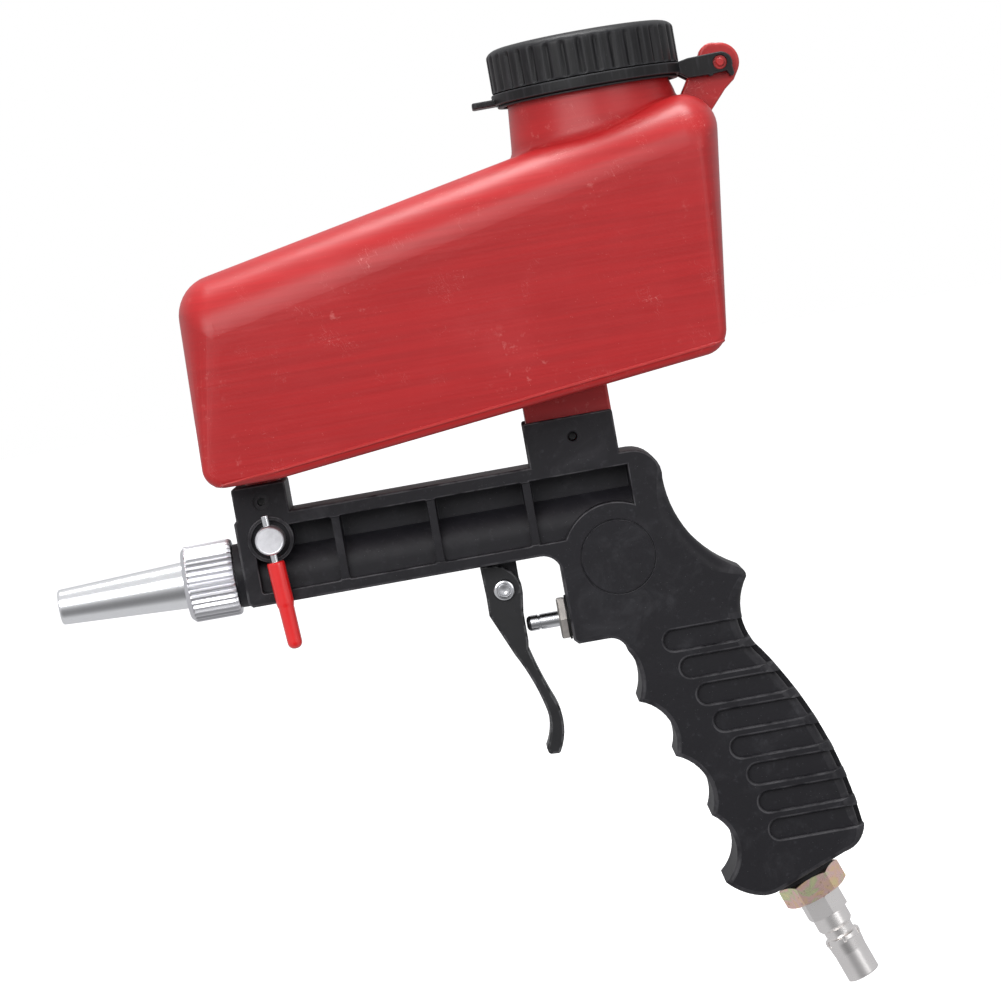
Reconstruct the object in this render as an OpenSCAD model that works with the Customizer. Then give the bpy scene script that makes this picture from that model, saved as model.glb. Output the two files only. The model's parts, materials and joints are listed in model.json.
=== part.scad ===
// Gravity-feed sandblaster gun.
// X runs along the barrel with the nozzle at -X, Z is up, and Y = 0 is the plane where the two body halves meet.
// The origin is in the middle of the hand grip. Lengths are in millimetres.

/* [Body] */
// Full thickness of the barrel and grip
body_w = 30; // [28:1:34]
// Height of the barrel's centre line above the middle of the grip
barrel_z = 90; // [88:0.5:92]
// Front face of the barrel
barrel_front = -165; // [-168:1:-162]
// Underside of the barrel
barrel_bottom = 79; // [78:0.5:80]
// Top of the barrel
barrel_top = 110.4; // [109:0.2:112]
// Thickness of the cross ribs in the side pockets
rib_t = 2.7; // [2:0.1:4]
// Height of one grip slot
slot_h = 7.1; // [5:0.1:8]
// Distance between grip slots
slot_pitch = 10.3; // [9:0.1:12]
// Depth of the grip slots
slot_depth = 1.2; // [0.5:0.1:2]

/* [Hopper] */
// Width of the hopper
hopper_w = 84; // [76:1:90]
// Wall thickness of the hopper
hopper_wall = 2.6; // [2:0.1:3.5]
// Outer radius of the filler neck
neck_r = 28.6; // [27.4:0.1:28.6]
// Top of the filler neck
neck_top = 248.1; // [246:0.1:248.1]

/* [Lid] */
// Outer radius of the ribbed cap
cap_r = 33.2; // [32.6:0.1:33.8]
// Number of grip ribs on the cap
cap_ribs = 36; // [24:2:48]

/* [Nozzle] */
// Radius of the nozzle's tip
tip_r = 6.2; // [5:0.1:7]
// Radius of the blast bore
blast_r = 3; // [2:0.1:4]
// Outer radius of the knurled nut
nut_r = 13.6; // [12.5:0.1:14]
// Number of grooves round the knurled nut
nut_grooves = 40; // [30:2:48]

/* [Air inlet] */
// Angle between the inlet and the vertical
inlet_tilt = 20; // [18:1:22]
// Radius of the plug's sealing end
plug_r = 6; // [5.5:0.1:6.2]

/* [Hidden] */
$fn = 48;
half_w = body_w / 2;

// The pocket floor stands this far from the middle plane
pocket_floor = 4.5;
pocket_x = [-159.2, -26];
pocket_z = [83.2, 105.6];
rib_x = [-129.8, -96, -62.1];
tube_cover_r = 7.5;
disc_at = [-34.6, 74.3];
disc_r = 13.3;

valve_x = -153.2;
valve_z = 101.3;
boss_r = 8.1;
spindle_r = 5.15;
lever_tilt = 3.4;
rod_r = 1.35;
rod_y = -19.2;

trigger_at = [-76, 69.2];
trigger_half = 7;
hanger_half = 5;
plunger_z = 55.2;
stem_r = 2.8;

neck_x = -16.5;
lid_pin = [30.4, 238];
lug_half = 4;
outlet_r = 6.3;
foot_x = [-58.4, -28];
bracket_z = 125.7;
set_screw_at = [-154.2, 115];
cross_screw_at = [-43.1, 118.5];

// The hinged ring's lower and upper faces, the cap's underside, and the top of its ribs
ring_z = [236.7, 240.5];
cap_z = [240.8, 253.6];
cap_ceiling = 249.8;
arm_y = [4.4, 8.6];

screw_at = [[-161.8, 105], [-19.5, 100], [-50, 73.5], [-29, 33], [22, -33]];

// ---- helpers ----

// Points of a circular arc from a to just before b, standing out by s to the left of the way from a to b
function bow(a, b, s, n = 8) =
    let (c = norm(b - a), d = (b - a) / c, m = [-d[1], d[0]], h = 2 * atan(2 * s / c), r = c / (2 * sin(h)))
    [for (i = [0:n - 1]) let (f = h * (2 * i / n - 1)) a + d * (c / 2 + r * sin(f)) + m * r * (cos(f) - cos(h))];

// An outline in the XZ plane, made solid from y0 to y1
module slab(y0, y1) translate([0, y1, 0]) rotate([90, 0, 0]) linear_extrude(y1 - y0) children();
module rod_x(x0, x1, r, z, n = 48) translate([x0, 0, z]) rotate([0, 90, 0]) cylinder(h = x1 - x0, r = r, $fn = n);
module rod_y(at, y0, y1, r, n = 48) translate([at[0], y1, at[1]]) rotate([90, 0, 0]) cylinder(h = y1 - y0, r = r, $fn = n);
module rod_z(x, z0, z1, r) translate([x, 0, z0]) cylinder(h = z1 - z0, r = r);
// A [radius, distance] profile turned about an axis parallel to X
module turned_x(profile, z) translate([0, 0, z]) rotate([0, 90, 0]) rotate_extrude() polygon(profile);
module ring_x(x0, x1, r0, r1, z) turned_x([[r0, x0], [r1, x0], [r1, x1], [r0, x1]], z);
module at_inlet() translate([-5.4, 0, -2]) rotate([0, 180 - inlet_tilt, 0]) children();
module at_lever() translate([valve_x, rod_y, valve_z]) rotate([0, -lever_tilt, 0]) children();
module left_half() intersection() { children(); translate([-200, -50, -80]) cube([260, 50, 240]); }

// ---- body ----

module body_outline() polygon(concat(
    [[barrel_front + 1.5, barrel_bottom]],
    bow([-61.5, barrel_bottom], [-55, barrel_bottom - 6.5], 1.9),
    [[-55, 48], [-53.5, 46.5]],
    bow([-43, 46.5], [-37, 41], 1.6),
    bow([-37, 41], [-36.3, 22.6], 2.5),
    bow([-36.3, 22.6], [-26.9, 1.4], 5.2, 10),
    bow([-26.9, 1.4], [-18, -21.5], 5.4, 10),
    bow([-18, -21.5], [-17.2, -45.8], 6.2, 10),
    bow([-17.2, -45.8], [-4.5, -52.8], -1.2),
    bow([-4.5, -52.8], [3.3, -51], -0.6, 4),
    bow([26, -42.4], [34.5, -34.3], -1.8),
    bow([34.5, -34.3], [10.3, 31.5], -4.4, 14),
    bow([10.3, 31.5], [8.4, 59.5], 4.7, 10),
    bow([8.4, 59.5], [6.5, 63], -0.7, 4),
    bow([6.5, 63], [-14.6, 98.5], 5.4, 12),
    bow([-14.6, 98.5], [-24.5, barrel_top], -3.6),
    [[-24.5, barrel_top], [barrel_front + 1.5, barrel_top], [barrel_front, barrel_top - 1.5],
     [barrel_front, barrel_bottom + 1.5]]));

module pocket_outline() difference() {
    translate([pocket_x[0], pocket_z[0]]) square([pocket_x[1] - pocket_x[0], pocket_z[1] - pocket_z[0]]);
    for (x = rib_x) translate([x - rib_t / 2, pocket_z[0] - 1]) square([rib_t, 30]);
    translate(disc_at) circle(r = 19.3);
    translate([valve_x, valve_z]) circle(r = boss_r);
}

module grip_slots() for (k = [0:7]) {
    x0 = -24.1 + 4.2 * min(k, 5) + 2.15 * max(k - 5, 0);
    z = 41.85 - slot_pitch * k;
    translate([x0 + slot_h / 2, z]) circle(r = slot_h / 2);
    translate([x0 + slot_h / 2, z - slot_h / 2]) square([50, slot_h]);
}

module hanger_outline() union() {
    translate(trigger_at) circle(r = 5.6);
    polygon([[-82, barrel_bottom + 1], [-82, 72.5], [-81, 69.5], [-76, 69.2], [-71, 68.2], [-70.2, 71.3],
             [-70.2, barrel_bottom + 1]]);
}

// The channels and seats for what the halves hold
module body_inside() {
    rod_x(-169, -162, 9.5, barrel_z);
    rod_x(-162.1, -140.9, 6.5, barrel_z);
    rod_x(-141, -29, 6.1, barrel_z);
    rod_y([valve_x, valve_z], -9.1, 9.1, 7);
    rod_y([valve_x, valve_z], -17, 17, spindle_r + 0.1);
    rod_y([valve_x, valve_z], -17, -half_w + 1.5, 6.7);
    rod_y([valve_x, valve_z], half_w - 1.5, 17, 6.7);
    rod_z(valve_x, barrel_z, 108.5, 5.7);
    rod_z(valve_x, 108.4, 122, outlet_r + 0.1);
    rod_z(-41, plunger_z, barrel_z, 4.1);
    rod_x(-56, -14, 8.1, plunger_z);
    at_inlet() translate([0, 0, -60]) cylinder(h = 99, r = 5.1);
    at_inlet() translate([0, 0, 37.9]) cylinder(h = 20, r = 8);
    rod_y(trigger_at, -20, 20, 2.05);
    rod_y(cross_screw_at, -20, 20, 1.3);
    rod_y(set_screw_at, -20, 20, 1.45);
    rod_y(set_screw_at, -20, -half_w + 1.2, 3);
    rod_y(set_screw_at, half_w - 1.2, 20, 3);
}

// The left half without the screw holes that differ between the halves
module body_blank() left_half() difference() {
    union() {
        difference() {
            slab(-half_w, half_w) body_outline();
            slab(-half_w - 1, -pocket_floor) pocket_outline();
            slab(-half_w - 1, -half_w + slot_depth) grip_slots();
            rod_y(disc_at, -half_w - 1, -half_w + 0.4, disc_r);
        }
        rod_x(pocket_x[0], pocket_x[1], tube_cover_r, barrel_z);
        rod_x(barrel_front - 3, barrel_front, 11.3, barrel_z);
        slab(-hanger_half, hanger_half) hanger_outline();
        translate([-164, -half_w, barrel_top - 1]) cube([19, body_w, 11.6]);
        translate([-59.8, -half_w, barrel_top - 1]) cube([31.8, 3.6, bracket_z - barrel_top + 1]);
        difference() {
            rod_y([valve_x, valve_z], -half_w - 0.5, -half_w + 3, boss_r);
            rod_y([valve_x, valve_z], -half_w - 0.6, -half_w + 3.1, boss_r - 1.4);
        }
    }
    body_inside();
}

module left_body() color("#2f2f35") difference() {
    body_blank();
    for (s = screw_at) rod_y(s, -9.5, 1, 1.35);
}

module right_body() color("#2b2b31") difference() {
    mirror([0, 1, 0]) body_blank();
    for (s = screw_at) rod_y(s, -1, 20, 1.35);
    for (s = screw_at) rod_y(s, half_w - 2.8, 20, 3);
}

module body_screws() color("#1c1c1e") for (s = screw_at) difference() {
    union() {
        rod_y(s, -9, half_w - 2.5, 1.3);
        rod_y(s, half_w - 2.7, half_w - 0.8, 2.7);
    }
    translate([s[0] - 0.4, half_w - 1.8, s[1] - 1.8]) cube([0.8, 2, 3.6]);
    translate([s[0] - 1.8, half_w - 1.8, s[1] - 0.4]) cube([3.6, 2, 0.8]);
}

// ---- hopper ----

// Corner balls of the hopper's side view: [x, z, radius]
hopper_corner = [[-156.5, 181.8, 14], [12.6, 216.8, 12], [5.8, 147.9, 9], [-144.3, 130, 7], [-163.7, 130, 7]];

module hopper_shape(inset) hull() for (c = hopper_corner) for (side = [-1, 1])
    translate([c[0], side * (hopper_w / 2 - c[2] - (c[1] < 160 ? 1.5 : 0)), c[1]]) sphere(r = c[2] - inset, $fn = 32);

module lug_outline() union() {
    translate(lid_pin) circle(r = 7.05);
    polygon([[14, 226], [15, 230], [18.5, 234.8], [23.5, 241], [36, 233.2], [34.6, 231], [31, 228.6], [25, 222], [18, 214]]);
}

// The neck's outside, with draft below the lid ring
module neck_blank() translate([neck_x, 0, 0]) rotate_extrude() polygon([
    [0, 208], [neck_r + 1.7, 208], [neck_r + 1.2, 221], [neck_r, 236], [neck_r, neck_top - 0.8], [neck_r - 0.8, neck_top],
    [0, neck_top]]);

module hopper() color("#b22a2e") {
    difference() {
        union() {
            hopper_shape(0);
            slab(-lug_half, lug_half) lug_outline();
            translate([foot_x[0], -11.2, 110.7]) cube([foot_x[1] - foot_x[0], 22.4, 26]);
        }
        hopper_shape(hopper_wall);
        rod_z(neck_x, 200, 230, neck_r - 2.8);
        neck_blank();
        rod_z(valve_x, 109, 130, outlet_r);
        rod_y(cross_screw_at, -20, 20, 1.3);
    }
    for (side = [-1, 1]) rod_y(lid_pin, side > 0 ? lug_half : -9.2, side > 0 ? 9.2 : -lug_half, 2.5);
}

// The neck is moulded onto the tank's sloping top and stands on its outside
module filler_neck() color("#b22a2e") difference() {
    neck_blank();
    hopper_shape(hopper_wall / 2);
    rod_z(neck_x, 200, neck_top + 1, neck_r - 2.8);
}

// The spout is moulded into the tank's floor and drops into the barrel's front bracket
module hopper_spout() color("#b22a2e") difference() {
    rod_z(valve_x, 110.05, 123 + hopper_wall, outlet_r);
    rod_z(valve_x, 109, 130, outlet_r - 2);
}

module front_bracket_screws() color("#141415") for (side = [0, 1]) mirror([0, side, 0]) difference() {
    rod_y(set_screw_at, -half_w + 1.6, -outlet_r - 0.15, 1.4);
    rod_y(set_screw_at, -half_w + 1.5, -half_w + 3, 0.8, 6);
}

module rear_bracket_screw() color("#1c1c1e") union() {
    rod_y(cross_screw_at, -half_w + 0.4, half_w, 1.25);
    rod_y(cross_screw_at, half_w, half_w + 1.8, 2.6);
}

// ---- lid ----

// One arm of the ring, with a nub under its middle and a foot at its end
module arm_outline() union() {
    translate(lid_pin) circle(r = 3.6);
    polygon([[17, ring_z[0]], [17, ring_z[1]], [19.5, ring_z[1] + 0.8], [30.4, lid_pin[1] + 3.6], [30.4, lid_pin[1] - 3.6],
             [18.6, 234.4]]);
    translate([26.6, 234]) circle(r = 1);
    polygon([[32.4, 236], [34, 237.6], [34.8, 233.4], [34.2, 232.6], [33.2, 232.8]]);
}

module lid_ring() color("#2a2b2d") difference() {
    union() {
        rod_z(neck_x, ring_z[0], ring_z[1], cap_r + 0.5);
        for (y = [-arm_y[1], arm_y[0]]) slab(y, y + arm_y[1] - arm_y[0]) arm_outline();
        for (y = [-arm_y[1], arm_y[0]]) translate([14.6, y, ring_z[0]]) cube([4, arm_y[1] - arm_y[0], ring_z[1] - ring_z[0]]);
        translate([-57.5, -7, ring_z[0]]) cube([10, 14, 2.2]);
    }
    rod_z(neck_x, 230, 245, 31.6);
    rod_y(lid_pin, -20, 20, 2.56);
}

module cap() color("#303134") difference() {
    translate([neck_x, 0, 0]) rotate_extrude() polygon(concat(
        [[30.2, ring_z[0] - 1], [32.1, ring_z[0] - 1], [32.1, ring_z[0] - 0.4], [31.3, ring_z[0] - 0.2], [31.3, cap_z[0]],
         [cap_r, cap_z[0]]],
        bow([cap_r, cap_z[1]], [cap_r - 3.5, cap_z[1] + 2.6], -0.9, 5),
        [[cap_r - 3.5, cap_z[1] + 2.6], [0, cap_z[1] + 3.4], [0, cap_ceiling], [30.2, cap_ceiling]]));
    for (k = [0:cap_ribs - 1]) translate([neck_x, 0, cap_z[0] + 0.8]) rotate([0, 0, k * 360 / cap_ribs])
        translate([cap_r + 0.4, 0, 0]) cylinder(h = cap_z[1] - cap_z[0], r = 1.2, $fn = 4);
}

module cap_gasket() color("#d8d4c8") rod_z(neck_x, neck_top + 0.1, cap_ceiling - 0.1, 29.6);

// ---- nozzle ----

module nozzle() color("#c9cacc") turned_x([
    [blast_r, -231.6], [tip_r - 0.4, -231.6], [tip_r, -231.2], [8.3, -187], [8.3, -181], [9.3, -181], [9.3, -179],
    [5, -179], [blast_r, -184]], barrel_z);

module nozzle_nut() color("#d4d5d8") difference() {
    turned_x([[8.4, -186.3], [nut_r - 1.4, -186.3], [nut_r, -184.9], [nut_r, -168.9], [nut_r - 0.7, -168.2], [9.55, -168.2],
              [9.55, -181.1], [8.4, -181.1]], barrel_z);
    for (k = [0:nut_grooves - 1]) translate([-185, 0, barrel_z]) rotate([k * 360 / nut_grooves, 0, 0])
        translate([0, 0, nut_r + 0.25]) rotate([0, 90, 0]) cylinder(h = 18, r = 0.9, $fn = 4);
}

module nozzle_gasket() color("#1b1b1b") ring_x(-179, -178, 5, 9.2, barrel_z);

module mixing_chamber() color("#a9abae") difference() {
    union() {
        rod_x(-178, -162, 9.45, barrel_z);
        rod_x(-162, -141, 6.4, barrel_z);
        rod_y([valve_x, valve_z], -9, 9, 6.9);
        rod_z(valve_x, barrel_z, 108.4, 5.6);
    }
    rod_x(-179, -149, 4.3, barrel_z);
    rod_x(-149.1, -140, 3.6, barrel_z);
    rod_y([valve_x, valve_z], -10, 10, spindle_r + 0.06);
    rod_z(valve_x, barrel_z, 109, 3.4);
}

module air_jet() color("#c8a24a") turned_x([
    [1, -160], [2, -160], [2.4, -158], [3.5, -149], [3.5, -141], [2.4, -141], [1.4, -150], [1, -152]], barrel_z);

module outlet_seal() color("#202020") translate([valve_x, 0, 0]) rotate_extrude()
    polygon([[3.5, 108.5], [6.2, 108.5], [6.2, 110], [3.5, 110]]);

// ---- air path ----

module barrel_tube() color("#b9bbbe") difference() {
    rod_x(-140.9, -33, 6, barrel_z);
    rod_x(-142, -30, 4.2, barrel_z);
    rod_z(-41, 80, barrel_z, 4.05);
}

module barrel_tube_plug() color("#8f9194") union() {
    rod_x(-36, -33, 4.15, barrel_z);
    rod_x(-33, -30, 6, barrel_z);
}

module delivery_tube() color("#b9bbbe") difference() {
    rod_z(-41, 60.5, 86, 4);
    rod_z(-41, 60, 87, 2.8);
}

module valve_body() color("#b8923c") difference() {
    rod_x(-54.9, -17, 8, plunger_z);
    rod_x(-55, -47.4, 5.5, plunger_z);
    rod_x(-47.5, -45.4, 4.5, plunger_z);
    rod_x(-45.5, -36, 3.6, plunger_z);
    rod_x(-36.1, -16, 6.2, plunger_z);
    rod_z(-41, plunger_z, 70, 4.05);
    at_inlet() translate([0, 0, -58]) cylinder(h = 20, r = 4);
}

module valve_plug() color("#b8923c") union() {
    rod_x(-20, -17, 6.15, plunger_z);
    rod_x(-17, -14.2, 8, plunger_z);
}

module valve_stem() color("#cfd1d4") turned_x([
    [0, -70.3], [1.4, -70.3], [2.3, -69.9], [stem_r, -69], [stem_r, -66.1], [2.5, -65.9], [2.5, -65.5], [stem_r, -65.3],
    [stem_r, -44.6], [2, -44], [2, -33.5], [5, -33.5], [5, -32], [1.6, -32], [1.6, -29], [0, -29]], plunger_z);

module valve_seal() color("#181818") ring_x(-35.9, -33.5, 2, 5.2, plunger_z);

// A round wire swept along a helix about the stem's axis: 5 turns from x = -31.9 to x = -20.1
spring_turns = 5;
spring_steps = 14;
function spring_ring(i) = let (a = 360 * i / spring_steps, x = -31.4 + 10.8 * i / (spring_turns * spring_steps))
    [for (s = [0:7]) let (r = 4.2 + 0.5 * cos(45 * s)) [x + 0.5 * sin(45 * s), r * cos(a), plunger_z + r * sin(a)]];

module valve_spring() color("#9da0a4") {
    last = spring_turns * spring_steps;
    polyhedron(
        points = [for (i = [0:last]) each spring_ring(i)],
        faces = concat(
            [[for (s = [0:7]) s]],
            [for (i = [0:last - 1]) for (s = [0:7]) [8 * i + s, 8 * (i + 1) + s, 8 * (i + 1) + (s + 1) % 8]],
            [for (i = [0:last - 1]) for (s = [0:7]) [8 * i + s, 8 * (i + 1) + (s + 1) % 8, 8 * i + (s + 1) % 8]],
            [[for (s = [7:-1:0]) 8 * last + s]]));
}

module stem_oring() color("#151515") ring_x(-47.3, -45.6, stem_r + 0.06, 4.45, plunger_z);

module gland_nut() color("#8b8276") difference() {
    union() {
        rod_x(-58.8, -55.8, 8.1, plunger_z, 6);
        rod_x(-56, -47.5, 5.45, plunger_z);
    }
    rod_x(-60, -47, stem_r + 0.06, plunger_z);
}

module gland_washer() color("#26221f") ring_x(-55.8, -55.05, 5.55, 7.9, plunger_z);

module grip_tube() color("#b9bbbe") at_inlet() difference() {
    translate([0, 0, -51]) cylinder(h = 89, r = 5);
    translate([0, 0, -52]) cylinder(h = 92, r = 3.6);
}

module inlet_bushing() color("#c9b36a") at_inlet() difference() {
    union() {
        translate([0, 0, 38.1]) cylinder(h = 14, r = 7.9);
        intersection() {
            translate([0, 0, 51.4]) cylinder(h = 8, r = 11.9, $fn = 6);
            rotate_extrude() polygon([[0, 51.4], [10.9, 51.4], [12, 52.4], [12, 58.4], [10.9, 59.4], [0, 59.4]]);
        }
    }
    translate([0, 0, 48]) cylinder(h = 20, r = 6.05);
    translate([0, 0, 30]) cylinder(h = 20, r = 4);
}

module inlet_washer() color("#1d1d1f") at_inlet() rotate_extrude() polygon([[8, 49.2], [10.4, 49.2], [10.4, 51.3], [8, 51.3]]);

module quick_plug() color("#b4b3b1") at_inlet() difference() {
    union() {
        intersection() {
            translate([0, 0, 59.6]) rotate([0, 0, 20]) cylinder(h = 7.5, r = 8.05, $fn = 6);
            rotate_extrude() polygon([[0, 59.6], [7.3, 59.6], [8.2, 60.4], [8.2, 66.3], [7.2, 67.1], [0, 67.1]]);
        }
        rotate_extrude() polygon([
            [0, 48.5], [6, 48.5], [6, 60], [6.5, 66], [6.5, 71.9], [5.9, 72.6], [5.3, 73.2], [5.3, 75.6], [6.2, 75.9],
            [6.7, 76.5], [6.7, 77.8], [6.4, 78.4], [plug_r, 82.3], [plug_r, 92.3], [plug_r - 0.4, 92.7], [0, 92.7]]);
    }
    translate([0, 0, 40]) cylinder(h = 60, r = 3.5);
}

// ---- sand valve ----

module valve_spindle() color("#c4c6c9") difference() {
    union() {
        rod_y([valve_x, valve_z], -half_w + 0.2, 16.6, spindle_r);
        translate([valve_x, 0, valve_z]) rotate([90, 0, 0]) rotate_extrude()
            polygon([[0, 14], [spindle_r, 14], [spindle_r, 21.9], [spindle_r - 0.6, 22.5], [0, 22.5]]);
    }
    at_lever() translate([0, 0, -9]) cylinder(h = 18, r = rod_r + 0.01);
    rod_z(valve_x, valve_z - 7, valve_z + 7, 3.2);
    for (y = [-7.5, 6]) translate([valve_x, y + 1.5, valve_z]) rotate([90, 0, 0]) rotate_extrude()
        polygon([[4.3, 0], [6, 0], [6, 1.5], [4.3, 1.5]]);
    translate([valve_x, 16.3, valve_z]) rotate([90, 0, 0]) rotate_extrude() polygon([[4.6, 0], [6, 0], [6, 0.9], [4.6, 0.9]]);
}

module spindle_orings() color("#141414") for (y = [-7.5, 6]) translate([valve_x, y + 1.45, valve_z]) rotate([90, 0, 0])
    rotate_extrude() polygon([[4.35, 0], [spindle_r, 0], [spindle_r, 1.4], [4.35, 1.4]]);

module spindle_clip() color("#5c5e61") translate([valve_x, 16.2, valve_z]) rotate([90, 0, 0]) difference() {
    cylinder(h = 0.7, r = 7.2);
    translate([0, 0, -1]) cylinder(h = 3, r = 4.7);
    translate([-2.6, -9, -1]) cube([5.2, 8, 3]);
}

module lever_rod() color("#d2d3d6") at_lever() translate([0, 0, -36]) cylinder(h = 44.8, r = rod_r);

module lever_sleeve() color("#e02020") at_lever() difference() {
    rotate_extrude() polygon(concat(
        [[0, -7.8], [2.9, -7.8], [3.15, -8.1], [3.15, -22.5], [2.75, -24]],
        bow([2.6, -36.5], [0, -38.8], 0.75, 6), [[0, -38.8]]));
    translate([0, 0, -36.1]) cylinder(h = 40, r = rod_r + 0.02);
}

// ---- trigger ----

module trigger_outline() polygon(concat(
    [[-83.1, 78.6], [-82.7, 67.6], [-82.8, 60.9]],
    bow([-76.3, 45.7], [-68.9, 26.1], 0.7),
    bow([-68.9, 26.1], [-71, 11.3], 1.5),
    [[-71, 11.3], [-69.9, 8.9], [-66.3, 9.2]],
    bow([-66.3, 9.2], [-64.8, 27.2], -2),
    bow([-64.8, 27.2], [-71.1, 47.2], 0.4, 6),
    [[-71.1, 47.2], [-70.7, 50], [-70.7, 60], [-69.7, 67]],
    bow([-69.7, 67], [-80, 78.6], -3.4)));

module trigger() color("#222224") difference() {
    slab(-trigger_half, trigger_half) trigger_outline();
    slab(-hanger_half - 0.3, hanger_half + 0.3) union() {
        translate(trigger_at) circle(r = 6);
        translate([-84, 69]) square([20, 12]);
        polygon([[-84, 66.5], [-84, 80], [-70, 80], [-70, 69.2]]);
    }
    rod_y(trigger_at, -20, 20, 2.06);
}

module trigger_pin() color("#c6c8ca") union() {
    rod_y(trigger_at, -8, 8, 2);
    for (side = [0, 1]) mirror([0, side, 0]) translate([trigger_at[0], 0, trigger_at[1]]) rotate([90, 0, 0]) rotate_extrude()
        polygon([[0, trigger_half + 0.1], [3.85, trigger_half + 0.1], [3.85, 7.9], [3.2, 8.5], [2.2, 8.6], [0, 8.2]]);
}

left_body();
right_body();
body_screws();
hopper();
filler_neck();
hopper_spout();
front_bracket_screws();
rear_bracket_screw();
lid_ring();
cap();
cap_gasket();
nozzle();
nozzle_nut();
nozzle_gasket();
mixing_chamber();
air_jet();
outlet_seal();
barrel_tube();
barrel_tube_plug();
delivery_tube();
valve_spindle();
spindle_orings();
spindle_clip();
lever_rod();
lever_sleeve();
trigger();
trigger_pin();
valve_stem();
valve_seal();
valve_spring();
gland_nut();
gland_washer();
stem_oring();
valve_body();
valve_plug();
grip_tube();
inlet_bushing();
inlet_washer();
quick_plug();
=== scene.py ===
"""Finished looks for a gravity-feed sandblaster gun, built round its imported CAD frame."""

import json
import math

import bmesh
import bpy
from bpy.props import FloatProperty, FloatVectorProperty, IntProperty, PointerProperty
from mathutils import Matrix, Vector
from mathutils.bvhtree import BVHTree


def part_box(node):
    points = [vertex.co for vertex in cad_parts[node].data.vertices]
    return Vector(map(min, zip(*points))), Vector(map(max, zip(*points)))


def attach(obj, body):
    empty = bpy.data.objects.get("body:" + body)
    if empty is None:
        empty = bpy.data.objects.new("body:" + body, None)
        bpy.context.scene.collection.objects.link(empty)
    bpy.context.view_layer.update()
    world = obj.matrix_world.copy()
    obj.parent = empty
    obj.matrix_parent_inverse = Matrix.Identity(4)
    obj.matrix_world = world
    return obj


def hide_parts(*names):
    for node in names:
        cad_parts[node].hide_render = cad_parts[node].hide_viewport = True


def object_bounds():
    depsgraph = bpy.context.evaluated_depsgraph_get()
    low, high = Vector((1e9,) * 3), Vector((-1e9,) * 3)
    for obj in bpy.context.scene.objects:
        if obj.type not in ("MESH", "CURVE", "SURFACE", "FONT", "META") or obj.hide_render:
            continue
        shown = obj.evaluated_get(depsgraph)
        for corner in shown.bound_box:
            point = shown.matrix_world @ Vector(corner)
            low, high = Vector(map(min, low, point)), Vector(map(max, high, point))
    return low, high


bl_info = {
    "name": "Sandblaster Gun",
    "version": (1, 0, 0),
    "blender": (4, 5, 0),
    "location": "3D View > Sidebar > Blast Gun",
    "description": "Builds the finished pieces of a gravity-feed sandblaster gun on its CAD frame",
    "category": "Add Mesh",
}

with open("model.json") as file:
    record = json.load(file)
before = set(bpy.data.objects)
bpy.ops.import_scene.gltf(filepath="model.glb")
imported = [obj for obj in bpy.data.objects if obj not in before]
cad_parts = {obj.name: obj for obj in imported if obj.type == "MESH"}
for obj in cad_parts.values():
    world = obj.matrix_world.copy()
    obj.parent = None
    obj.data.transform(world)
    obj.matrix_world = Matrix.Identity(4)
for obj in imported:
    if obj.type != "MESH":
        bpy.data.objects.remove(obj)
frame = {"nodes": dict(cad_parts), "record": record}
CAD_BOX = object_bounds()
MM = 0.001


def box_mm(node):
    """Lowest and highest corner of a CAD node, in millimetres."""
    low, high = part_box(node)
    return low / MM, high / MM


# ---- places and sizes that several pieces share, in millimetres ----

BODY_LOW, BODY_HIGH = box_mm("left_body")
HALF_W = 15.0
BARREL_Z = (box_mm("nozzle")[0].z + box_mm("nozzle")[1].z) / 2
SPINDLE_X = (box_mm("spindle_clip")[0].x + box_mm("spindle_clip")[1].x) / 2
SPINDLE_Z = (box_mm("spindle_clip")[0].z + box_mm("spindle_clip")[1].z) / 2
PIVOT_X = (box_mm("trigger_pin")[0].x + box_mm("trigger_pin")[1].x) / 2
PIVOT_Z = (box_mm("trigger_pin")[0].z + box_mm("trigger_pin")[1].z) / 2
PLUNGER_Z = (box_mm("valve_stem")[0].z + box_mm("valve_stem")[1].z) / 2
NECK_X = (box_mm("cap")[0].x + box_mm("cap")[1].x) / 2
LID_PIN = Vector((30.4, 238.0))
ROD_Y = -19.2
LEVER_TILT = math.radians(3.4)
INLET_TOP = Vector((-5.4, 0, -2))
INLET_AXIS = Vector((math.sin(math.radians(20)), 0, -math.cos(math.radians(20))))

# ---- outlines ----


def arc(start, end, sag, steps=8):
    """Points of a circular arc from start to just before end, standing out by sag to the left of the way."""
    start, end = Vector(start), Vector(end)
    chord = end - start
    half = 2 * math.atan(2 * sag / chord.length)
    radius = chord.length / (2 * math.sin(half))
    along = chord.normalized()
    out = Vector((-along.y, along.x))
    points = []
    for i in range(steps):
        turn = half * (2 * i / steps - 1)
        points.append(start + chord / 2 + along * radius * math.sin(turn) + out * radius * (math.cos(turn) - math.cos(half)))
    return points


def circle(centre, radius, steps=40, start=0.0):
    """Points round a circle, anticlockwise."""
    turns = (start + 2 * math.pi * i / steps for i in range(steps))
    return [Vector((centre[0] + radius * math.cos(t), centre[1] + radius * math.sin(t))) for t in turns]


def rectangle(low, high):
    return [Vector(low), Vector((high[0], low[1])), Vector(high), Vector((low[0], high[1]))]


def drawn_in(outline, depths):
    """The anticlockwise outline with each point moved inwards by its depth."""
    points = [Vector(p) for p in outline]
    if not isinstance(depths, list):
        depths = [depths] * len(points)
    moved = []
    for i, point in enumerate(points):
        before = (point - points[i - 1]).normalized()
        after = (points[(i + 1) % len(points)] - point).normalized()
        left = Vector((-before.y, before.x))
        middle = (left + Vector((-after.y, after.x))).normalized()
        moved.append(point + middle * depths[i] / max(0.45, middle.dot(left)))
    return moved


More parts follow.
